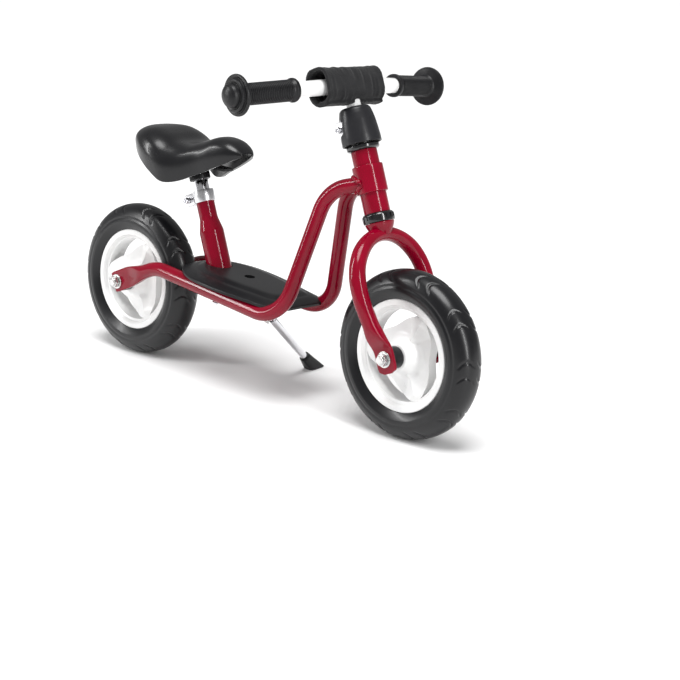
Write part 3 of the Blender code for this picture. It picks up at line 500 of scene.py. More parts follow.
# ============================== seat post
# A 19 mm chromed post with a ribbed black collar at its top, under the saddle.
MOULDED = surface("textured black moulding", (0.007, 0.007, 0.008), (0.004, 0.004, 0.005),
                  (0.30, 0.46), grain=1500, bump=0.3, depth=0.00012, patch=25,
                  shine=0.28)
POST = SEAT @ Matrix.Translation((0, 0, 0.1270))
show(build("seat post", rod(0.0095, -0.1490, 0.0, 64, 0.0008), POST, CHROME),
     "seat", "bright_steel", "seat_post")
ring = build("post collar", pipe(0.0134, 0.0097, -0.0141, 0.0, 64), POST, MOULDED)
show(ring, "seat", "black_moulding", "saddle_clamp")
ribs = grown("collar ribs", RING, POST @ Matrix.Translation((0, 0, -0.0070)), MOULDED,
             Count=24, Radius=0.0133, Size=(0.0010, 0.0011, 0.0122))
show(ribs, "seat", "black_moulding")

# ============================== saddle
# Skinned foam moulding: a wide, raised rear, a waist, a raised round nose and deep skirts round a
# hollow underside, with a hard pan inside that bolts to the post.
SKIN = surface("skinned foam", (0.006, 0.006, 0.007), (0.004, 0.004, 0.005), (0.24, 0.32),
               grain=2200, bump=0.16, depth=0.0001, patch=14, pattern="voronoi", coat=0.08,
               shine=0.35)
# x, half width, top, side skirt
STATIONS = [(-0.2290, 0.024, 0.3080, 0.2960), (-0.2215, 0.041, 0.3150, 0.2890),
            (-0.2090, 0.052, 0.3190, 0.2830), (-0.1930, 0.060, 0.3200, 0.2745),
            (-0.1740, 0.063, 0.3150, 0.2635), (-0.1540, 0.060, 0.3070, 0.2530),
            (-0.1330, 0.050, 0.3045, 0.2555), (-0.1120, 0.040, 0.3100, 0.2650),
            (-0.0900, 0.034, 0.3170, 0.2750), (-0.0700, 0.028, 0.3155, 0.2850),
            (-0.0560, 0.021, 0.3090, 0.2920), (-0.0470, 0.012, 0.3020, 0.2965)]


def between(rows, t):
    """Smooth curve through the rows of numbers, read at t from 0 to 1."""
    span = t * (len(rows) - 1)
    k = min(int(span), len(rows) - 2)
    u = span - k
    p0, p1 = rows[max(k - 1, 0)], rows[k]
    p2, p3 = rows[k + 1], rows[min(k + 2, len(rows) - 1)]
    return [0.5 * (2 * b + (c - a) * u + (2 * a - 5 * b + 4 * c - d) * u * u
                   + (3 * b - a - 3 * c + d) * u ** 3) for a, b, c, d in zip(p0, p1, p2, p3)]


def saddle_mesh():
    bm = bmesh.new()
    loops = []
    count, around = 96, 40
    for i in range(count + 1):
        x, half, top, skirt = between(STATIONS, i / count)
        ring = []
        wall = min(0.0060, half * 0.3)
        for k in range(around + 1):
            turn = pi * k / around
            c, s = cos(turn), sin(turn)
            tuck = 1 - 0.16 * (1 - s) ** 2
            dish = 0.0030 * ease(half, 0.045, 0.062) * exp(-(c / 0.35) ** 2)
            ring.append((half * tuck * copysign(abs(c) ** 0.8, c),
                         skirt + (top - skirt) * s ** 0.75 - dish))
        hollow = [(y * (1 - wall / max(half, 0.001)), skirt + (z - skirt) * 0.62 + 0.0006)
                  for y, z in reversed(ring)]
        loops.append([bm.verts.new((x, y, z)) for y, z in ring + hollow])
    joined(bm, loops)
    for ring in (loops[0], loops[-1]):
        bm.faces.new(ring)
    bmesh.ops.triangulate(bm, faces=[f for f in bm.faces if len(f.verts) > 4])
    return bm


saddle = build("saddle", saddle_mesh(), UPRIGHT, SKIN, 55)
show(saddle, "seat", "saddle_skin", "saddle")
pan_half = [(-0.2000, 0.0180), (-0.1880, 0.0230), (-0.1500, 0.0190), (-0.1050, 0.0120),
            (-0.0800, 0.0080)]
pan_ring = [between(pan_half, k / 24) for k in range(25)]
pan_ring += [(x, -y) for x, y in reversed(pan_ring)]
PAN_LOW, PAN_HIGH = 0.2738, 0.2768
pan = prism(pan_ring, PAN_LOW, PAN_HIGH, 2)
show(build("saddle pan", pan, UPRIGHT, MOULDED), "seat", "black_moulding", "saddle_base")

# ============================== footboard
# Leaf-shaped tread moulded in black plastic: a thin lip all round, a low dome whose edge follows the
# outline, a raised flat middle and a drain hole. Two screws hold it from below.
TREAD = surface("tread moulding", (0.009, 0.009, 0.010), (0.006, 0.006, 0.007), (0.28, 0.40),
                grain=1100, bump=0.14, depth=0.0002, patch=20, pattern="voronoi",
                shine=0.28)
DECK = UPRIGHT @ Matrix.Translation((-0.0333, 0, 0.1319)) @ Matrix.Rotation(radians(5.95), 4, "Y")
DRAIN_R = 0.0070
# half of the outline, from the front lip round to the seat tube: x, y
EDGE = [(0.0975, 0.0), (0.0978, 0.0080), (0.0980, 0.0250), (0.0960, 0.0380), (0.0900, 0.0450),
        (0.0780, 0.0495), (0.0600, 0.0520), (0.0400, 0.0552), (0.0100, 0.0598), (-0.0200, 0.0612),
        (-0.0450, 0.0590), (-0.0650, 0.0525), (-0.0800, 0.0435), (-0.0900, 0.0330),
        (-0.0970, 0.0180), (-0.0990, 0.0060), (-0.0992, 0.0)]


def board_mesh():
    """Rings stepped inwards from the outline: thin wall, rounded lip, sloping wing, dome, flat top."""
    bm = bmesh.new()
    left = [between(EDGE, k / 120) for k in range(121)]
    outline = left + [(x, -y) for x, y in reversed(left[1:-1])]
    steps = [(1.0, 0.0002), (1.0, 0.0028), (0.994, 0.0036), (0.982, 0.0041), (0.955, 0.0048),
             (0.925, 0.0055), (0.860, 0.0070), (0.800, 0.0082), (0.760, 0.0087), (0.720, 0.0089),
             (0.700, 0.0091), (0.660, 0.0101), (0.620, 0.0113), (0.580, 0.0120), (0.540, 0.0124),
             (0.480, 0.0125), (0.300, 0.0125), (0.140, 0.0125)]
    loops = []
    for scale, height in steps:
        lengthways = 1 - 0.6 * (1 - scale)
        loops.append([bm.verts.new((x * lengthways, y * scale, height)) for x, y in outline])
    joined(bm, loops)
    bm.faces.new(loops[0][::-1])
    bm.faces.new(loops[-1])
    return bm


board = build("footboard", board_mesh(), DECK, TREAD, 28)
cut_by(board, build("drain", rod(DRAIN_R, -0.02, 0.03), DECK, TREAD),
       build("seat tube way", rod(0.0168, -0.08, 0.06, 64), SEAT, TREAD))
show(board, "frame", "black_moulding", "footboard")
for k, sign in enumerate((1, -1)):
    screw_at = DECK @ Matrix.Translation((-0.0117, sign * tube_y(-0.0450), -0.0198))
    pan_head = turned(rounded([(0, -0.0030), (0.0016, -0.0030), (0.0016, -0.0016), (0.0020, -0.0016),
                               (0.0034, -0.0028), (0.0042, -0.0012), (0.0042, 0.0), (0.0020, 0.0),
                               (0.0020, 0.0268), (0, 0.0268)], 0.0003), 32)
    show(build("board screw %d" % (k + 1), pan_head, screw_at, CHROME),
         "frame", "bright_steel", "footboard_screw_%d" % (k + 1))

# ============================== tyres
# Black foam rubber rings with a satin skin. A crease runs round each sidewall, and short curved
# grooves are moulded in pairs on both sides of the crown.
FOAM = surface("foam rubber", (0.006, 0.006, 0.007), (0.004, 0.004, 0.005), (0.26, 0.36),
               grain=1300, bump=0.12, depth=0.00015, patch=16, coat=0.05,
               shine=0.35)
RIM_R, RIM_HALF, TYRE_HALF, CROWN_R = 0.0682, 0.0169, 0.0227, 0.0770
# pairs of grooves on each side of the crown
PAIRS = 10


def groove(turn, across):
    """Depth of the moulded pattern at an angle round the tyre and a share across its width."""
    depth = 0.0
    share = turn / (2 * pi) * PAIRS
    local = (share - floor(share) - 0.5) * 2 * pi / PAIRS * WHEEL_R
    for side in (1, -1):
        off = (across * side * 0.030 - 0.0078) / 0.0075
        for lean in (-0.0150, 0.0040):
            arc = local * side - lean - 0.0105 * (1 - off * off)
            fade = 1 - ease(abs(off), 0.70, 1.0)
            depth += fade * exp(-(arc / 0.0016) ** 2)
    return min(depth, 1.0) * 0.0012


def tyre_mesh():
    bead = RIM_HALF - 0.0030
    lower = [(0.0603, -bead), (RIM_R + 0.0003, -bead), (RIM_R + 0.0003, -RIM_HALF)]
    upper = [(RIM_R + 0.0003, RIM_HALF), (RIM_R + 0.0003, bead), (0.0603, bead)]
    bm = bmesh.new()
    steps, count = 720, 60
    loops = []
    for i in range(steps):
        turn = 2 * pi * i / steps
        points = list(lower)
        for k in range(count + 1):
            a = -pi / 2 + pi * k / count
            c, s = cos(a), sin(a)
            radius = CROWN_R + (WHEEL_R - CROWN_R) * abs(c) ** (2 / 2.3)
            offset = TYRE_HALF * copysign(abs(s) ** (2 / 2.3), s)
            share = (a / (pi / 2)) * 0.72
            cut = groove(turn, share) if abs(share) < 0.55 else 0.0
            crease = 0.0009 * exp(-((radius - 0.0842) / 0.0011) ** 2) * (abs(s) > 0.5)
            radius -= cut * c + crease * c
            offset -= copysign(cut * abs(s) + crease, s)
            points.append((radius, offset))
        points += upper
        loops.append([bm.verts.new((r * sin(turn), y, r * cos(turn))) for r, y in points])
    joined(bm, loops, True)
    return bm


for which, hub in (("front", FRONT_HUB), ("rear", REAR_HUB)):
    show(build(which + " tyre", tyre_mesh(), hub, FOAM, 50),
         which + "_wheel", "foam_tyre", which + "_tyre")

# ============================== wheel rims
# White nylon mouldings: a flanged channel for the tyre, a dished web drawn into a three-armed star
# whose ridges run out from the hub, and a crescent window between each pair of arms.
NYLON = surface("white nylon", (0.80, 0.80, 0.79), (0.72, 0.72, 0.72), (0.24, 0.36),
                grain=800, bump=0.06, depth=0.0001, patch=22)
STEEL = surface("zinc plate", (0.72, 0.71, 0.69), (0.55, 0.55, 0.55), (0.18, 0.34), metal=1.0,
                grain=1800, bump=0.10, depth=0.00006, patch=70)


def rim_mesh():
    lip = RIM_HALF - 0.0027
    right = [(0.0600, lip), (RIM_R - 0.0004, lip), (RIM_R, lip + 0.0006), (RIM_R, RIM_HALF - 0.0008),
             (RIM_R - 0.0008, RIM_HALF), (0.0612, RIM_HALF), (0.0604, RIM_HALF - 0.0006),
             (0.0592, 0.0140), (0.0584, 0.0124), (0.0560, 0.0118)]
    right += [(r, 0.0060 + 0.0058 * ((r - 0.0300) / 0.0260) ** 2) for r in
              (0.0545, 0.0520, 0.0490, 0.0460, 0.0430, 0.0400, 0.0370, 0.0340, 0.0310, 0.0280)]
    right += [(0.0250, 0.0078), (0.0225, 0.0108), (0.0205, 0.0150), (0.0185, 0.0190),
              (0.0172, 0.0215), (0.0160, 0.0229), (0.0150, 0.0235), (0.0112, 0.0235)]
    left = [(r, -y) for r, y in reversed(right)]
    profile = [(0.0600, 0.0)] + right + [(0.0112, 0.0)] + left
    bm = bmesh.new()
    steps = 240
    loops = []
    for i in range(steps):
        turn = 2 * pi * i / steps
        loop = []
        for r, y in profile:
            if 0.0200 < r < 0.0575 and abs(y) > 0.001:
                arm = min(abs((turn - c + pi) % (2 * pi) - pi)
                          for c in (radians(60), radians(180), radians(300)))
                width = radians(26) * (0.55 + 0.45 * (r - 0.0200) / 0.0375)
                ridge = max(0.0, 1 - arm / width)
                span = ease(r, 0.0200, 0.0260) * (1 - ease(r, 0.0480, 0.0575))
                y += copysign(0.0062 * ridge * span, y)
            loop.append(bm.verts.new((r * cos(turn), y, r * sin(turn))))
        loops.append(loop)
    joined(bm, loops, True)
    return bm


def window_mesh(centre):
    points = []
    # the outer edge follows the rim; the inner one bows out less, so the window is a crescent
    for k in range(41):
        a = radians(-54 + 108 * k / 40)
        points.append((0.0554 * cos(a), 0.0554 * sin(a)))
    for k in range(1, 40):
        share = 1 - 2 * k / 40
        a = radians(54) * share
        reach = 0.0554 - 0.0185 * cos(pi / 2 * share) ** 1.2
        points.append((reach * cos(a), reach * sin(a)))
    turned_points = [(x * cos(centre) - z * sin(centre), x * sin(centre) + z * cos(centre))
                     for x, z in points]
    return prism(turned_points, -0.03, 0.03, 1)


for which, hub in (("front", FRONT_HUB), ("rear", REAR_HUB)):
    rim = build(which + " rim", rim_mesh(), hub, NYLON, 24)
    cut_by(rim, *[build("window", window_mesh(radians(120 * k)), hub, NYLON) for k in range(3)])
    show(rim, which + "_wheel", "white_moulding", which + "_rim")
    for sign, side in ((1, "left"), (-1, "right")):
        near, far = sorted((sign * 0.0160, sign * 0.0230))
        show(build(which + " bearing " + side, pipe(0.0110, 0.0053, near, far), hub @ ALONG_Y, STEEL),
             which + "_wheel", "bright_steel", "%s_bearing_%s" % (which, side))

# ============================== axles
# A zinc plated steel axle through each hub, with a black spacer on either side of the hub and a
# washer and a chamfered hexagon nut outside each leg or dropout.
for which, hub, body in (("front", FRONT_HUB, "fork"), ("rear", REAR_HUB, "frame")):
    place = hub @ ALONG_Y
    axle = build(which + " axle", rod(0.0050, -0.0535, 0.0535, 40, 0.0009), place, STEEL)
    show(axle, body, "bright_steel", which + "_axle")
    for sign, side in ((1, "left"), (-1, "right")):
        near, far = sorted((sign * 0.0242, sign * (HUB_HALF - 0.0002)))
        spacer = build("%s spacer %s" % (which, side), pipe(0.0135, 0.0053, near, far, 56, 0.0008),
                       place, MOULDED)
        show(spacer, body, "black_moulding", "%s_spacer_%s" % (which, side))
        near, far = sorted((sign * (HUB_HALF + PLATE + 0.0001), sign * (HUB_HALF + PLATE + 0.0013)))
        washer = build("%s washer %s" % (which, side), pipe(0.0098, 0.0053, near, far, 56, 0.0003),
                       place, STEEL)
        show(washer, body, "bright_steel")
        nut_in, nut_out = HUB_HALF + PLATE + 0.0016, HUB_HALF + PLATE + 0.0068
        blank = rounded([(0, nut_in), (0.0077, nut_in), (0.0077, nut_out), (0, nut_out)], 0.0007)
        nut = build("%s nut %s" % (which, side), turned([(r, sign * h) for r, h in blank], 6),
                    place, STEEL, 30)
        cone = [(0, nut_in - 0.001), (0.0083, nut_in - 0.001), (0.0083, nut_out - 0.0014),
                (0.0066, nut_out), (0, nut_out)]
        skin = build("cone", turned([(r, sign * h) for r, h in cone], 48), place, STEEL)
        mod = nut.modifiers.new("chamfer", "BOOLEAN")
        mod.operation, mod.solver, mod.object = "INTERSECT", "EXACT", skin
        settle(nut)
        bpy.data.objects.remove(skin, do_unlink=True)
        cut_by(nut, build("bore", rod(0.0052, -0.07, 0.07), place, STEEL))
        show(nut, body, "bright_steel", "%s_nut_%s" % (which, side))

# ============================== fork
# One 20 mm tube bent into an arch over the wheel, its legs drawn in and pressed flat at the axle,
# welded under a small flared crown.
FORK_R = 0.0100
arc_r, arc_z, plate_y = 0.0603, 0.0862, HUB_HALF + PLATE / 2
arch_half = [Vector((0, arc_r * cos(a), arc_z + arc_r * sin(a)))
             for a in (radians(90 - 3 * k) for k in range(31))]
leg = bent([arch_half[-1], (0, 0.0603, 0.070), (0, 0.0500, 0.026), (0, plate_y, 0.0120),
            (0, plate_y, -0.0175)], [0.09, 0.05, 0.03])
arch_half += dense(leg, 0.003)[1:]
arch_path = [Vector((p.x, -p.y, p.z)) for p in reversed(arch_half)] + arch_half[1:]


def fork_section(point, index):
    flat = 1 - ease(point.z, 0.010, 0.044)
    crown = ease(point.z, 0.125, 0.144)
    drop = max(0.0, -0.0035 - point.z) / 0.0140
    tip = max(0.02, 1 - min(drop, 1.0) ** 4) ** 0.25
    wide = (FORK_R + (0.0140 - FORK_R) * flat) * (tip if flat > 0.99 else 1.0)
    return FORK_R + (PLATE / 2 - FORK_R) * flat - 0.0013 * crown, wide, 2.0 + 6.0 * flat


arch = build("fork arch", swept(arch_path, fork_section, Vector((1, 0, 0)), 36), STEER, PAINT, 50)
cut_by(arch, build("axle hole", rod(0.0052, -0.06, 0.06), STEER @ ALONG_Y, PAINT))
show(arch, "fork", "red_paint", "fork_arch")
crown_out = [(0, 0.1440), (0.0100, 0.1440), (0.0128, 0.1480), (0.0150, 0.1520), (0.0168, 0.1560),
             (0.0178, 0.1590), (0.0178, 0.1600), (0, 0.1600)]
show(build("fork crown", turned(rounded(crown_out, 0.0012, 4), 64), STEER, PAINT, 60),
     "fork", "red_paint", "fork_crown")
show(build("steerer", pipe(0.0125, 0.0093, 0.1603, 0.2885, 56), STEER, STEEL),
     "fork", "bright_steel", "fork_steerer")

# ============================== stem cover
# Tapered satin plastic cap that hides the stem clamp, with a rounded notch behind for its ears.
CAP = surface("satin cap", (0.016, 0.016, 0.018), (0.011, 0.011, 0.013), (0.26, 0.36), grain=1700,
              bump=0.12, depth=0.0001, patch=20,
              shine=0.28)
cap_out = [(0.0222, 0.2558), (0.0240, 0.2558), (0.0239, 0.2640), (0.0231, 0.2740), (0.0220, 0.2840),
           (0.0205, 0.2920), (0.0190, 0.2975), (0.0165, 0.3002), (0.0096, 0.3005), (0.0096, 0.2980),
           (0.0150, 0.2975), (0.0179, 0.2950), (0.0203, 0.2800), (0.0216, 0.2660)]
cap = build("stem cover", turned(rounded(cap_out, 0.0010, 4), 88), STEER, CAP, 50)
notch = bmesh.new()
bmesh.ops.create_cube(notch, size=1.0)
bmesh.ops.scale(notch, vec=(0.038, 0.046, 0.0190), verts=notch.verts)
bmesh.ops.translate(notch, vec=(-0.0248, 0, 0.2785), verts=notch.verts)
along = [e for e in notch.edges
         if abs(e.verts[0].co.x - e.verts[1].co.x) > 0.02]
bmesh.ops.bevel(notch, geom=along, offset=0.0045, segments=6, profile=0.5, affect="EDGES")
cut_by(cap, build("notch", notch, STEER, CAP))
show(cap, "fork", "black_moulding", "stem_cover")

# ============================== handlebar
# White lacquered steel: a stem that slides in the steerer, and a 19 mm bar whose ends sweep back.
LACQUER = surface("white lacquer", (0.82, 0.82, 0.81), (0.76, 0.76, 0.76), (0.14, 0.24), coat=0.4,
                  grain=900, bump=0.05, depth=0.0001, patch=26)
BAR_R, BAR_MID, BAR_END, SWEEP = 0.0095, 0.035, 0.148, radians(8.5)
BAR = STEER @ Matrix.Translation((0, 0, 0.3269))
X = Vector((1, 0, 0))
back, out = BAR_END * sin(SWEEP), BAR_END * cos(SWEEP)
bar_path = bent([(-back, -BAR_MID - out, 0), (0, -BAR_MID, 0), (0, BAR_MID, 0),
                 (-back, BAR_MID + out, 0)], [0.080, 0.080], radians(2))
show(build("handlebar", swept(bar_path, lambda p, k: (BAR_R, BAR_R, 2.0), X, 48), BAR, LACQUER, 50),
     "handlebar", "white_lacquer", "handlebar")
show(build("stem", rod(0.0090, -0.1500, -0.0030, 56, 0.0008), BAR, LACQUER),
     "handlebar", "white_lacquer", "handlebar_stem")
bead = [Vector((0.0092 * cos(a), 0.0092 * sin(a),
                0.0003 - sqrt(max(0.0, BAR_R ** 2 - (0.0092 * sin(a)) ** 2))))
        for a in (2 * pi * k / 48 for k in range(48))]
show(build("stem weld", swept(bead, lambda p, k: (0.0015, 0.0015, 2.0), Vector((0.1, 0.2, 1)), 10,
                              loop=True), BAR, LACQUER, 80), "handlebar", "white_lacquer")

# ============================== grips
# Black rubber sleeves with fine rings round the barrel, a collar inside, and a wide safety flange
# with stepped discs and a domed end outside.
RUBBER = surface("grip rubber", (0.008, 0.008, 0.009), (0.005, 0.005, 0.006), (0.30, 0.44),
                 grain=1700, bump=0.25, depth=0.00012, patch=40,
                 shine=0.28)
GRIP_START, FLANGE, GRIP_TIP = 0.0520, 0.1330, 0.1502


def rings_tree(name):
    """Thin round rings spaced along Z."""
    tree, start, end = tree_with(name, Count="Int", Spacing="Vector", Radius="Float",
                                 Wire="Float")
    add, join = tree.nodes.new, tree.links.new
    line = add("GeometryNodeMeshLine")
    big, small = add("GeometryNodeCurvePrimitiveCircle"), add("GeometryNodeCurvePrimitiveCircle")
    big.inputs["Resolution"].default_value = 56
    small.inputs["Resolution"].default_value = 8
    skin = add("GeometryNodeCurveToMesh")
    each = add("GeometryNodeInstanceOnPoints")
    join(start.outputs["Count"], line.inputs["Count"])
    join(start.outputs["Spacing"], line.inputs["Offset"])
    join(start.outputs["Radius"], big.inputs["Radius"])
    join(start.outputs["Wire"], small.inputs["Radius"])
    join(big.outputs["Curve"], skin.inputs["Curve"])
    join(small.outputs["Curve"], skin.inputs["Profile Curve"])
    join(line.outputs["Mesh"], each.inputs["Points"])
    join(skin.outputs["Mesh"], each.inputs["Instance"])
    return close_tree(tree, start, end, each.outputs["Instances"])


RINGS = rings_tree("rings along a bar")
bore = BAR_R + 0.0002
grip_out = [(bore, GRIP_START), (0.0135, GRIP_START), (0.0143, GRIP_START + 0.0015),
            (0.0143, GRIP_START + 0.0045), (0.0128, GRIP_START + 0.0068), (0.0121, GRIP_START + 0.0085),
            (0.0121, FLANGE - 0.0085), (0.0140, FLANGE - 0.0058), (0.0200, FLANGE - 0.0030),
            (0.0238, FLANGE - 0.0014), (0.0242, FLANGE + 0.0002), (0.0238, FLANGE + 0.0022),
            (0.0222, FLANGE + 0.0026), (0.0200, FLANGE + 0.0018), (0.0194, FLANGE + 0.0024),
            (0.0193, FLANGE + 0.0058), (0.0184, FLANGE + 0.0068), (0.0166, FLANGE + 0.0068),
            (0.0146, FLANGE + 0.0058), (0.0141, FLANGE + 0.0064), (0.0138, FLANGE + 0.0100),
            (0.0128, FLANGE + 0.0126), (0.0104, FLANGE + 0.0148), (0.0066, FLANGE + 0.0164),
            (0.0030, FLANGE + 0.0171), (0, GRIP_TIP),
            (0, BAR_END + 0.0002), (bore, BAR_END + 0.0002)]
for sign, side in ((1, "left"), (-1, "right")):
    place = (BAR @ Matrix.Translation((0, sign * BAR_MID, 0)) @ Matrix.Rotation(sign * SWEEP, 4, "Z")
             @ Matrix.Rotation(-sign * pi / 2, 4, "X"))
    grip = build("grip " + side, turned(rounded(grip_out, 0.0004), 96), place, RUBBER, 32)
    show(grip, "handlebar", "grip_rubber", "grip_" + side)
    ribs = grown("grip ribs " + side, RINGS,
                 place @ Matrix.Translation((0, 0, GRIP_START + 0.0105)), RUBBER, Count=25,
                 Spacing=(0, 0, 0.0025), Radius=0.0120, Wire=0.0009)
    ribs.data.shade_smooth()
    show(ribs, "handlebar", "grip_rubber")

# ============================== handlebar pad
# Foam-backed woven sleeve wrapped round the middle of the bar and closed by an overlap underneath,
# where the stem comes through. Its ends stand open round the bar.
CLOTH = surface("woven sleeve", (0.014, 0.014, 0.015), (0.008, 0.008, 0.009), (0.70, 0.90),
                grain=500, bump=0.1, patch=60, sheen=0.12,
                shine=0.15)
weave = CLOTH.node_tree
place = weave.nodes.new("ShaderNodeTexCoord")
shader = weave.nodes["Principled BSDF"]
threads = []
for turn in (0.0, 90.0):
    spin = weave.nodes.new("ShaderNodeMapping")
    spin.inputs["Rotation"].default_value = (radians(turn), radians(22), radians(turn * 0.5))
    wave = weave.nodes.new("ShaderNodeTexWave")
    wave.inputs["Scale"].default_value = 340.0
    wave.inputs["Distortion"].default_value = 0.8
    weave.links.new(place.outputs["Object"], spin.inputs["Vector"])
    weave.links.new(spin.outputs["Vector"], wave.inputs["Vector"])
    threads.append(wave)
most = weave.nodes.new("ShaderNodeMath")
most.operation = "MAXIMUM"
weave.links.new(threads[0].outputs["Fac"], most.inputs[0])
weave.links.new(threads[1].outputs["Fac"], most.inputs[1])
relief = weave.nodes.new("ShaderNodeBump")
relief.inputs["Strength"].default_value = 0.6
relief.inputs["Distance"].default_value = 0.0004
weave.links.new(most.outputs["Value"], relief.inputs["Height"])
weave.links.new(relief.outputs["Normal"], shader.inputs["Normal"])
PAD_RIGHT, PAD_LEFT = -0.0530, 0.0450


def pad_mesh():
    """A strip wound once round the bar with a short overlap underneath, then given thickness."""
    bm = bmesh.new()
    wall, count, stations = 0.0036, 96, 34
    first, last = radians(-100), radians(292)
    loops = []
    for j in range(stations + 1):
        y = PAD_RIGHT + (PAD_LEFT - PAD_RIGHT) * j / stations
        edge = min(y - PAD_RIGHT, PAD_LEFT - y)
        flare = 0.0010 * exp(-(edge / 0.007) ** 2)
        crease = 0.0005 * sin(y * 420) + 0.0004 * sin(y * 913 + 1.3)
        outer, inner = [], []
        for k in range(count + 1):
            a = first + (last - first) * k / count
            over = ease(k / count, 0.84, 0.97) * 0.0032
            c, s = cos(a), sin(a)
            x = copysign(abs(c) ** 0.72, c)
            z = copysign(abs(s) ** 0.72, s)
            grow = over - 0.0016 + flare + crease * (0.4 + 0.6 * sin(a * 3 + y * 90))
            outer.append((-0.0015 + (0.0188 + grow) * x, 0.0015 + (0.0228 + grow) * z))
            inner.append((-0.0015 + (0.0188 + grow - wall) * x,
                          0.0015 + (0.0228 + grow - wall) * z))
        loops.append([bm.verts.new((x, y, z)) for x, z in outer + inner[::-1]])
    joined(bm, loops)
    half = count + 1
    for ring, turn in ((loops[0], 1), (loops[-1], -1)):
        for i in range(count):
            quad = [ring[i], ring[i + 1], ring[2 * half - 2 - i], ring[2 * half - 1 - i]]
            bm.faces.new(quad[::turn])
    return bm


pad = build("bar pad", pad_mesh(), Matrix.Identity(4), CLOTH, 60)
grain = pad.modifiers.new("remesh", "REMESH")
grain.mode, grain.voxel_size = "VOXEL", 0.0012
settle(pad)
still = [v.co.copy() for v in pad.data.vertices]
soft = pad.modifiers.new("cloth", "CLOTH")
soft.settings.use_pressure = True
soft.settings.uniform_pressure_force = 3.0
soft.settings.quality = 4
soft.settings.mass = 0.2
soft.settings.tension_stiffness = 30
soft.settings.compression_stiffness = 30
soft.settings.bending_stiffness = 2.0
soft.settings.effector_weights.gravity = 0.0
for number in range(1, 13):
    bpy.context.scene.frame_set(number)
settle(pad)
bpy.context.scene.frame_set(1)
# the foam backing lets the sleeve give by less than a millimetre
give = 0.0008
for vert, rest in zip(pad.data.vertices, still):
    move = vert.co - rest
    if move.length > give:
        vert.co = rest + move.normalized() * give
pad.data.materials.clear()
pad.data.materials.append(CLOTH)
pad.data.shade_smooth()
pad.data.transform(BAR)
show(pad, "handlebar", "pad_cloth", "bar_pad")

# ============================== side stand
# Bright steel leg welded to a pierced plate that turns on a bolt under the frame, held by a small
# torsion spring. A flared rubber shoe ends it, its sole flat on the floor.
pivot, toe = Vector((0.0032, 0.0041, 0.0991)), Vector((-0.0130, 0.1110, 0.0104))
fold = Vector((0.159, 0.645, 0.748)).normalized()
down = toe - pivot
down = (down - fold * down.dot(fold)).normalized()
STAND = UPRIGHT @ Matrix.Translation(pivot) @ Matrix(
    (down, fold.cross(down), fold)).transposed().to_4x4()
LENGTH = (toe - pivot).length
eye = build("stand plate", pipe(0.0090, 0.0034, -0.0020, 0.0020, 64), STAND, CHROME)
show(eye, "stand", "bright_steel", "stand_plate")
leg_place = STAND @ Matrix.Rotation(pi / 2, 4, "Y")
show(build("stand leg", rod(0.0050, 0.0095, LENGTH - 0.0150, 48, 0.0006), leg_place, CHROME),
     "stand", "bright_steel", "stand_leg")
bolt_out = [(0, -0.0092), (0.0052, -0.0092), (0.0052, -0.0066), (0.0030, -0.0066),
            (0.0030, 0.0125), (0, 0.0125)]
show(build("stand bolt", turned(rounded(bolt_out, 0.0006), 40), STAND, STEEL),
     "frame", "bright_steel", "stand_bolt")
nut = build("stand nut", turned(rounded([(0.0034, 0.0062), (0.0058, 0.0062), (0.0058, 0.0105),
                                         (0.0034, 0.0105)], 0.0004), 6), STAND, STEEL)
show(nut, "frame", "bright_steel", "stand_nut")
angle = [(0.0050, 0.0023), (0.0050, 0.0059), (-0.0080, 0.0059), (-0.0080, 0.0100), (-0.0150, 0.0100),
         (-0.0150, 0.0023)]
BRACKET_HALF = 0.0072
bracket = prism(angle, -BRACKET_HALF, BRACKET_HALF, 1)
bracket = build("stand bracket", bracket, STAND, PAINT)
show(bracket, "frame", "red_paint", "stand_bracket")


def coil_tree(name):
    """A round wire wound into a coil about Z."""
    tree, start, end = tree_with(name, Turns="Float", Radius="Float", Height="Float",
                                 Wire="Float")
    add, join = tree.nodes.new, tree.links.new
    coil = add("GeometryNodeCurveSpiral")
    coil.inputs["Resolution"].default_value = 28
    wire = add("GeometryNodeCurvePrimitiveCircle")
    wire.inputs["Resolution"].default_value = 10
    skin = add("GeometryNodeCurveToMesh")
    skin.inputs["Fill Caps"].default_value = True
    join(start.outputs["Turns"], coil.inputs["Rotations"])
    join(start.outputs["Radius"], coil.inputs["Start Radius"])
    join(start.outputs["Radius"], coil.inputs["End Radius"])
    join(start.outputs["Height"], coil.inputs["Height"])
    join(start.outputs["Wire"], wire.inputs["Radius"])
    join(coil.outputs["Curve"], skin.inputs["Curve"])
    join(wire.outputs["Curve"], skin.inputs["Profile Curve"])
    return close_tree(tree, start, end, skin.outputs["Mesh"])


COIL = coil_tree("wire coil")
spring = grown("stand spring", COIL, STAND @ Matrix.Translation((0, 0, -0.0057)), STEEL, Turns=2.5,
               Radius=0.0045, Height=0.0028, Wire=0.0006)
show(spring, "frame", "bright_steel", "stand_spring")
for which, hub, body in (("front", FRONT_HUB, "fork"), ("rear", REAR_HUB, "frame")):
    for sign, side in ((1, "left"), (-1, "right")):
        turn = hub @ Matrix.Rotation(-sign * pi / 2, 4, "X") @ Matrix.Translation((0, 0, 0.0508))
        thread = grown("%s thread %s" % (which, side), COIL, turn, STEEL, Turns=3.0, Radius=0.0050,
                       Height=0.0022, Wire=0.00028)
        thread.data.shade_smooth()
        show(thread, body, "bright_steel")


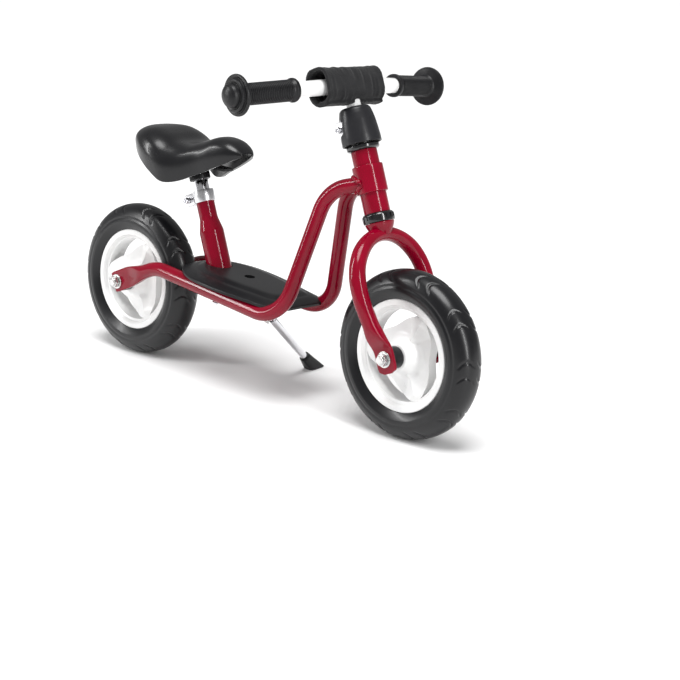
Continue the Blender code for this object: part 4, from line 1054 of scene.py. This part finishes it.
def shoe_mesh():
    """Straight-sided wedge lofted from a round neck on the leg to a flat oblong sole."""
    bm = bmesh.new()
    level = Vector((0, -sin(LEAN), cos(LEAN)))
    sole = UPRIGHT.inverted() @ Vector((-0.0130, 0.0746, 0.0))
    run = (toe - pivot).normalized()
    count = 56

    def ring(centre, normal, half_wide, half_deep, power):
        across = Vector((0, cos(LEAN), sin(LEAN)))
        across = (across - normal * across.dot(normal)).normalized()
        depth = normal.cross(across)
        points = []
        for k in range(count):
            a = 2 * pi * (k + 0.5) / count
            c, s = cos(a), sin(a)
            points.append(centre + across * (half_wide * copysign(abs(c) ** (2 / power), c))
                          + depth * (half_deep * copysign(abs(s) ** (2 / power), s)))
        return points

    neck = ring(sole - run * 0.0310, run, 0.0070, 0.0070, 2.0)
    base = ring(sole + level * 0.0012, -level, 0.0130, 0.0093, 4.5)
    lip = ring(sole - run * 0.0322, run, 0.0062, 0.0062, 2.0)
    tread = ring(sole + level * 0.0001, -level, 0.0124, 0.0087, 4.5)
    rings = [[bm.verts.new(p) for p in lip]]
    for i in range(13):
        t = i / 12
        rings.append([bm.verts.new(a.lerp(b, t)) for a, b in zip(neck, base)])
    rings.append([bm.verts.new(p) for p in tread])
    joined(bm, rings)
    bm.faces.new(rings[0][::-1])
    bm.faces.new(rings[-1])
    return bm


show(build("stand shoe", shoe_mesh(), UPRIGHT, RUBBER, 60), "stand", "grip_rubber", "stand_foot")

# ============================== floor
# A plain pale studio floor, wide enough to fill the background. It lies a hair below the tyres and
# the stand's sole.
FLOOR = surface("studio floor", (0.86, 0.86, 0.86), (0.84, 0.84, 0.84), (0.55, 0.65), grain=60,
                bump=0.02, patch=2)
bm = bmesh.new()
bmesh.ops.create_grid(bm, x_segments=1, y_segments=1, size=12.0)
ground = build("floor", bm, Matrix.Translation((0, 0, -0.0002)), FLOOR)

# ============================== light
# White surroundings and a soft source overhead, with a narrow upright panel on either side that
# draws streaks of light along the tubes and the tyres.
world = bpy.data.worlds.new("studio")
bpy.context.scene.world = world
world.use_nodes = True
world.node_tree.nodes["Background"].inputs["Color"].default_value = (1, 1, 1, 1)
world.node_tree.nodes["Background"].inputs["Strength"].default_value = 0.34


def panel(name, at, aim, size, watts):
    lamp = bpy.data.lights.new(name, "AREA")
    lamp.shape, lamp.size, lamp.size_y, lamp.energy = "RECTANGLE", size[0], size[1], watts
    obj = bpy.data.objects.new(name, lamp)
    bpy.context.scene.collection.objects.link(obj)
    obj.location = at
    obj.rotation_mode = "QUATERNION"
    obj.rotation_quaternion = (Vector(aim) - Vector(at)).to_track_quat("-Z", "Y")
    return obj


panel("left side", (-1.6, -1.6, 1.3), (0, 0, 0.2), (0.22, 1.8), 34)
panel("right side", (2.2, -0.4, 1.0), (0, 0, 0.2), (0.22, 1.6), 28)
sky = bpy.data.lights.new("overhead", "SUN")
sky.energy, sky.angle = 3.1, radians(34)
high = bpy.data.objects.new("overhead", sky)
bpy.context.scene.collection.objects.link(high)
high.rotation_euler = (radians(8), radians(6), 0)

# ============================== camera
# Looks down at the bike's front right from a little above the handlebar, through a long lens, and
# is rolled slightly.
eye_at, aim_at, roll = Vector((1.4888, -1.5114, 0.6084)), Vector((0.1307, 0, 0.0957)), 0.0653
ahead = (aim_at - eye_at).normalized()
right = ahead.cross(Vector((0, 0, 1))).normalized()
up = right.cross(ahead)
right, up = right * cos(roll) + up * sin(roll), up * cos(roll) - right * sin(roll)
lens = bpy.data.cameras.new("camera")
lens.lens, lens.sensor_width = 90.18, 36.0
camera = bpy.data.objects.new("camera", lens)
bpy.context.scene.collection.objects.link(camera)
turn = Matrix((right, up, -ahead)).transposed().to_4x4()
camera.matrix_world = UPRIGHT @ Matrix.Translation(eye_at) @ turn
bpy.context.scene.camera = camera
bpy.context.scene.view_settings.view_transform = "Standard"
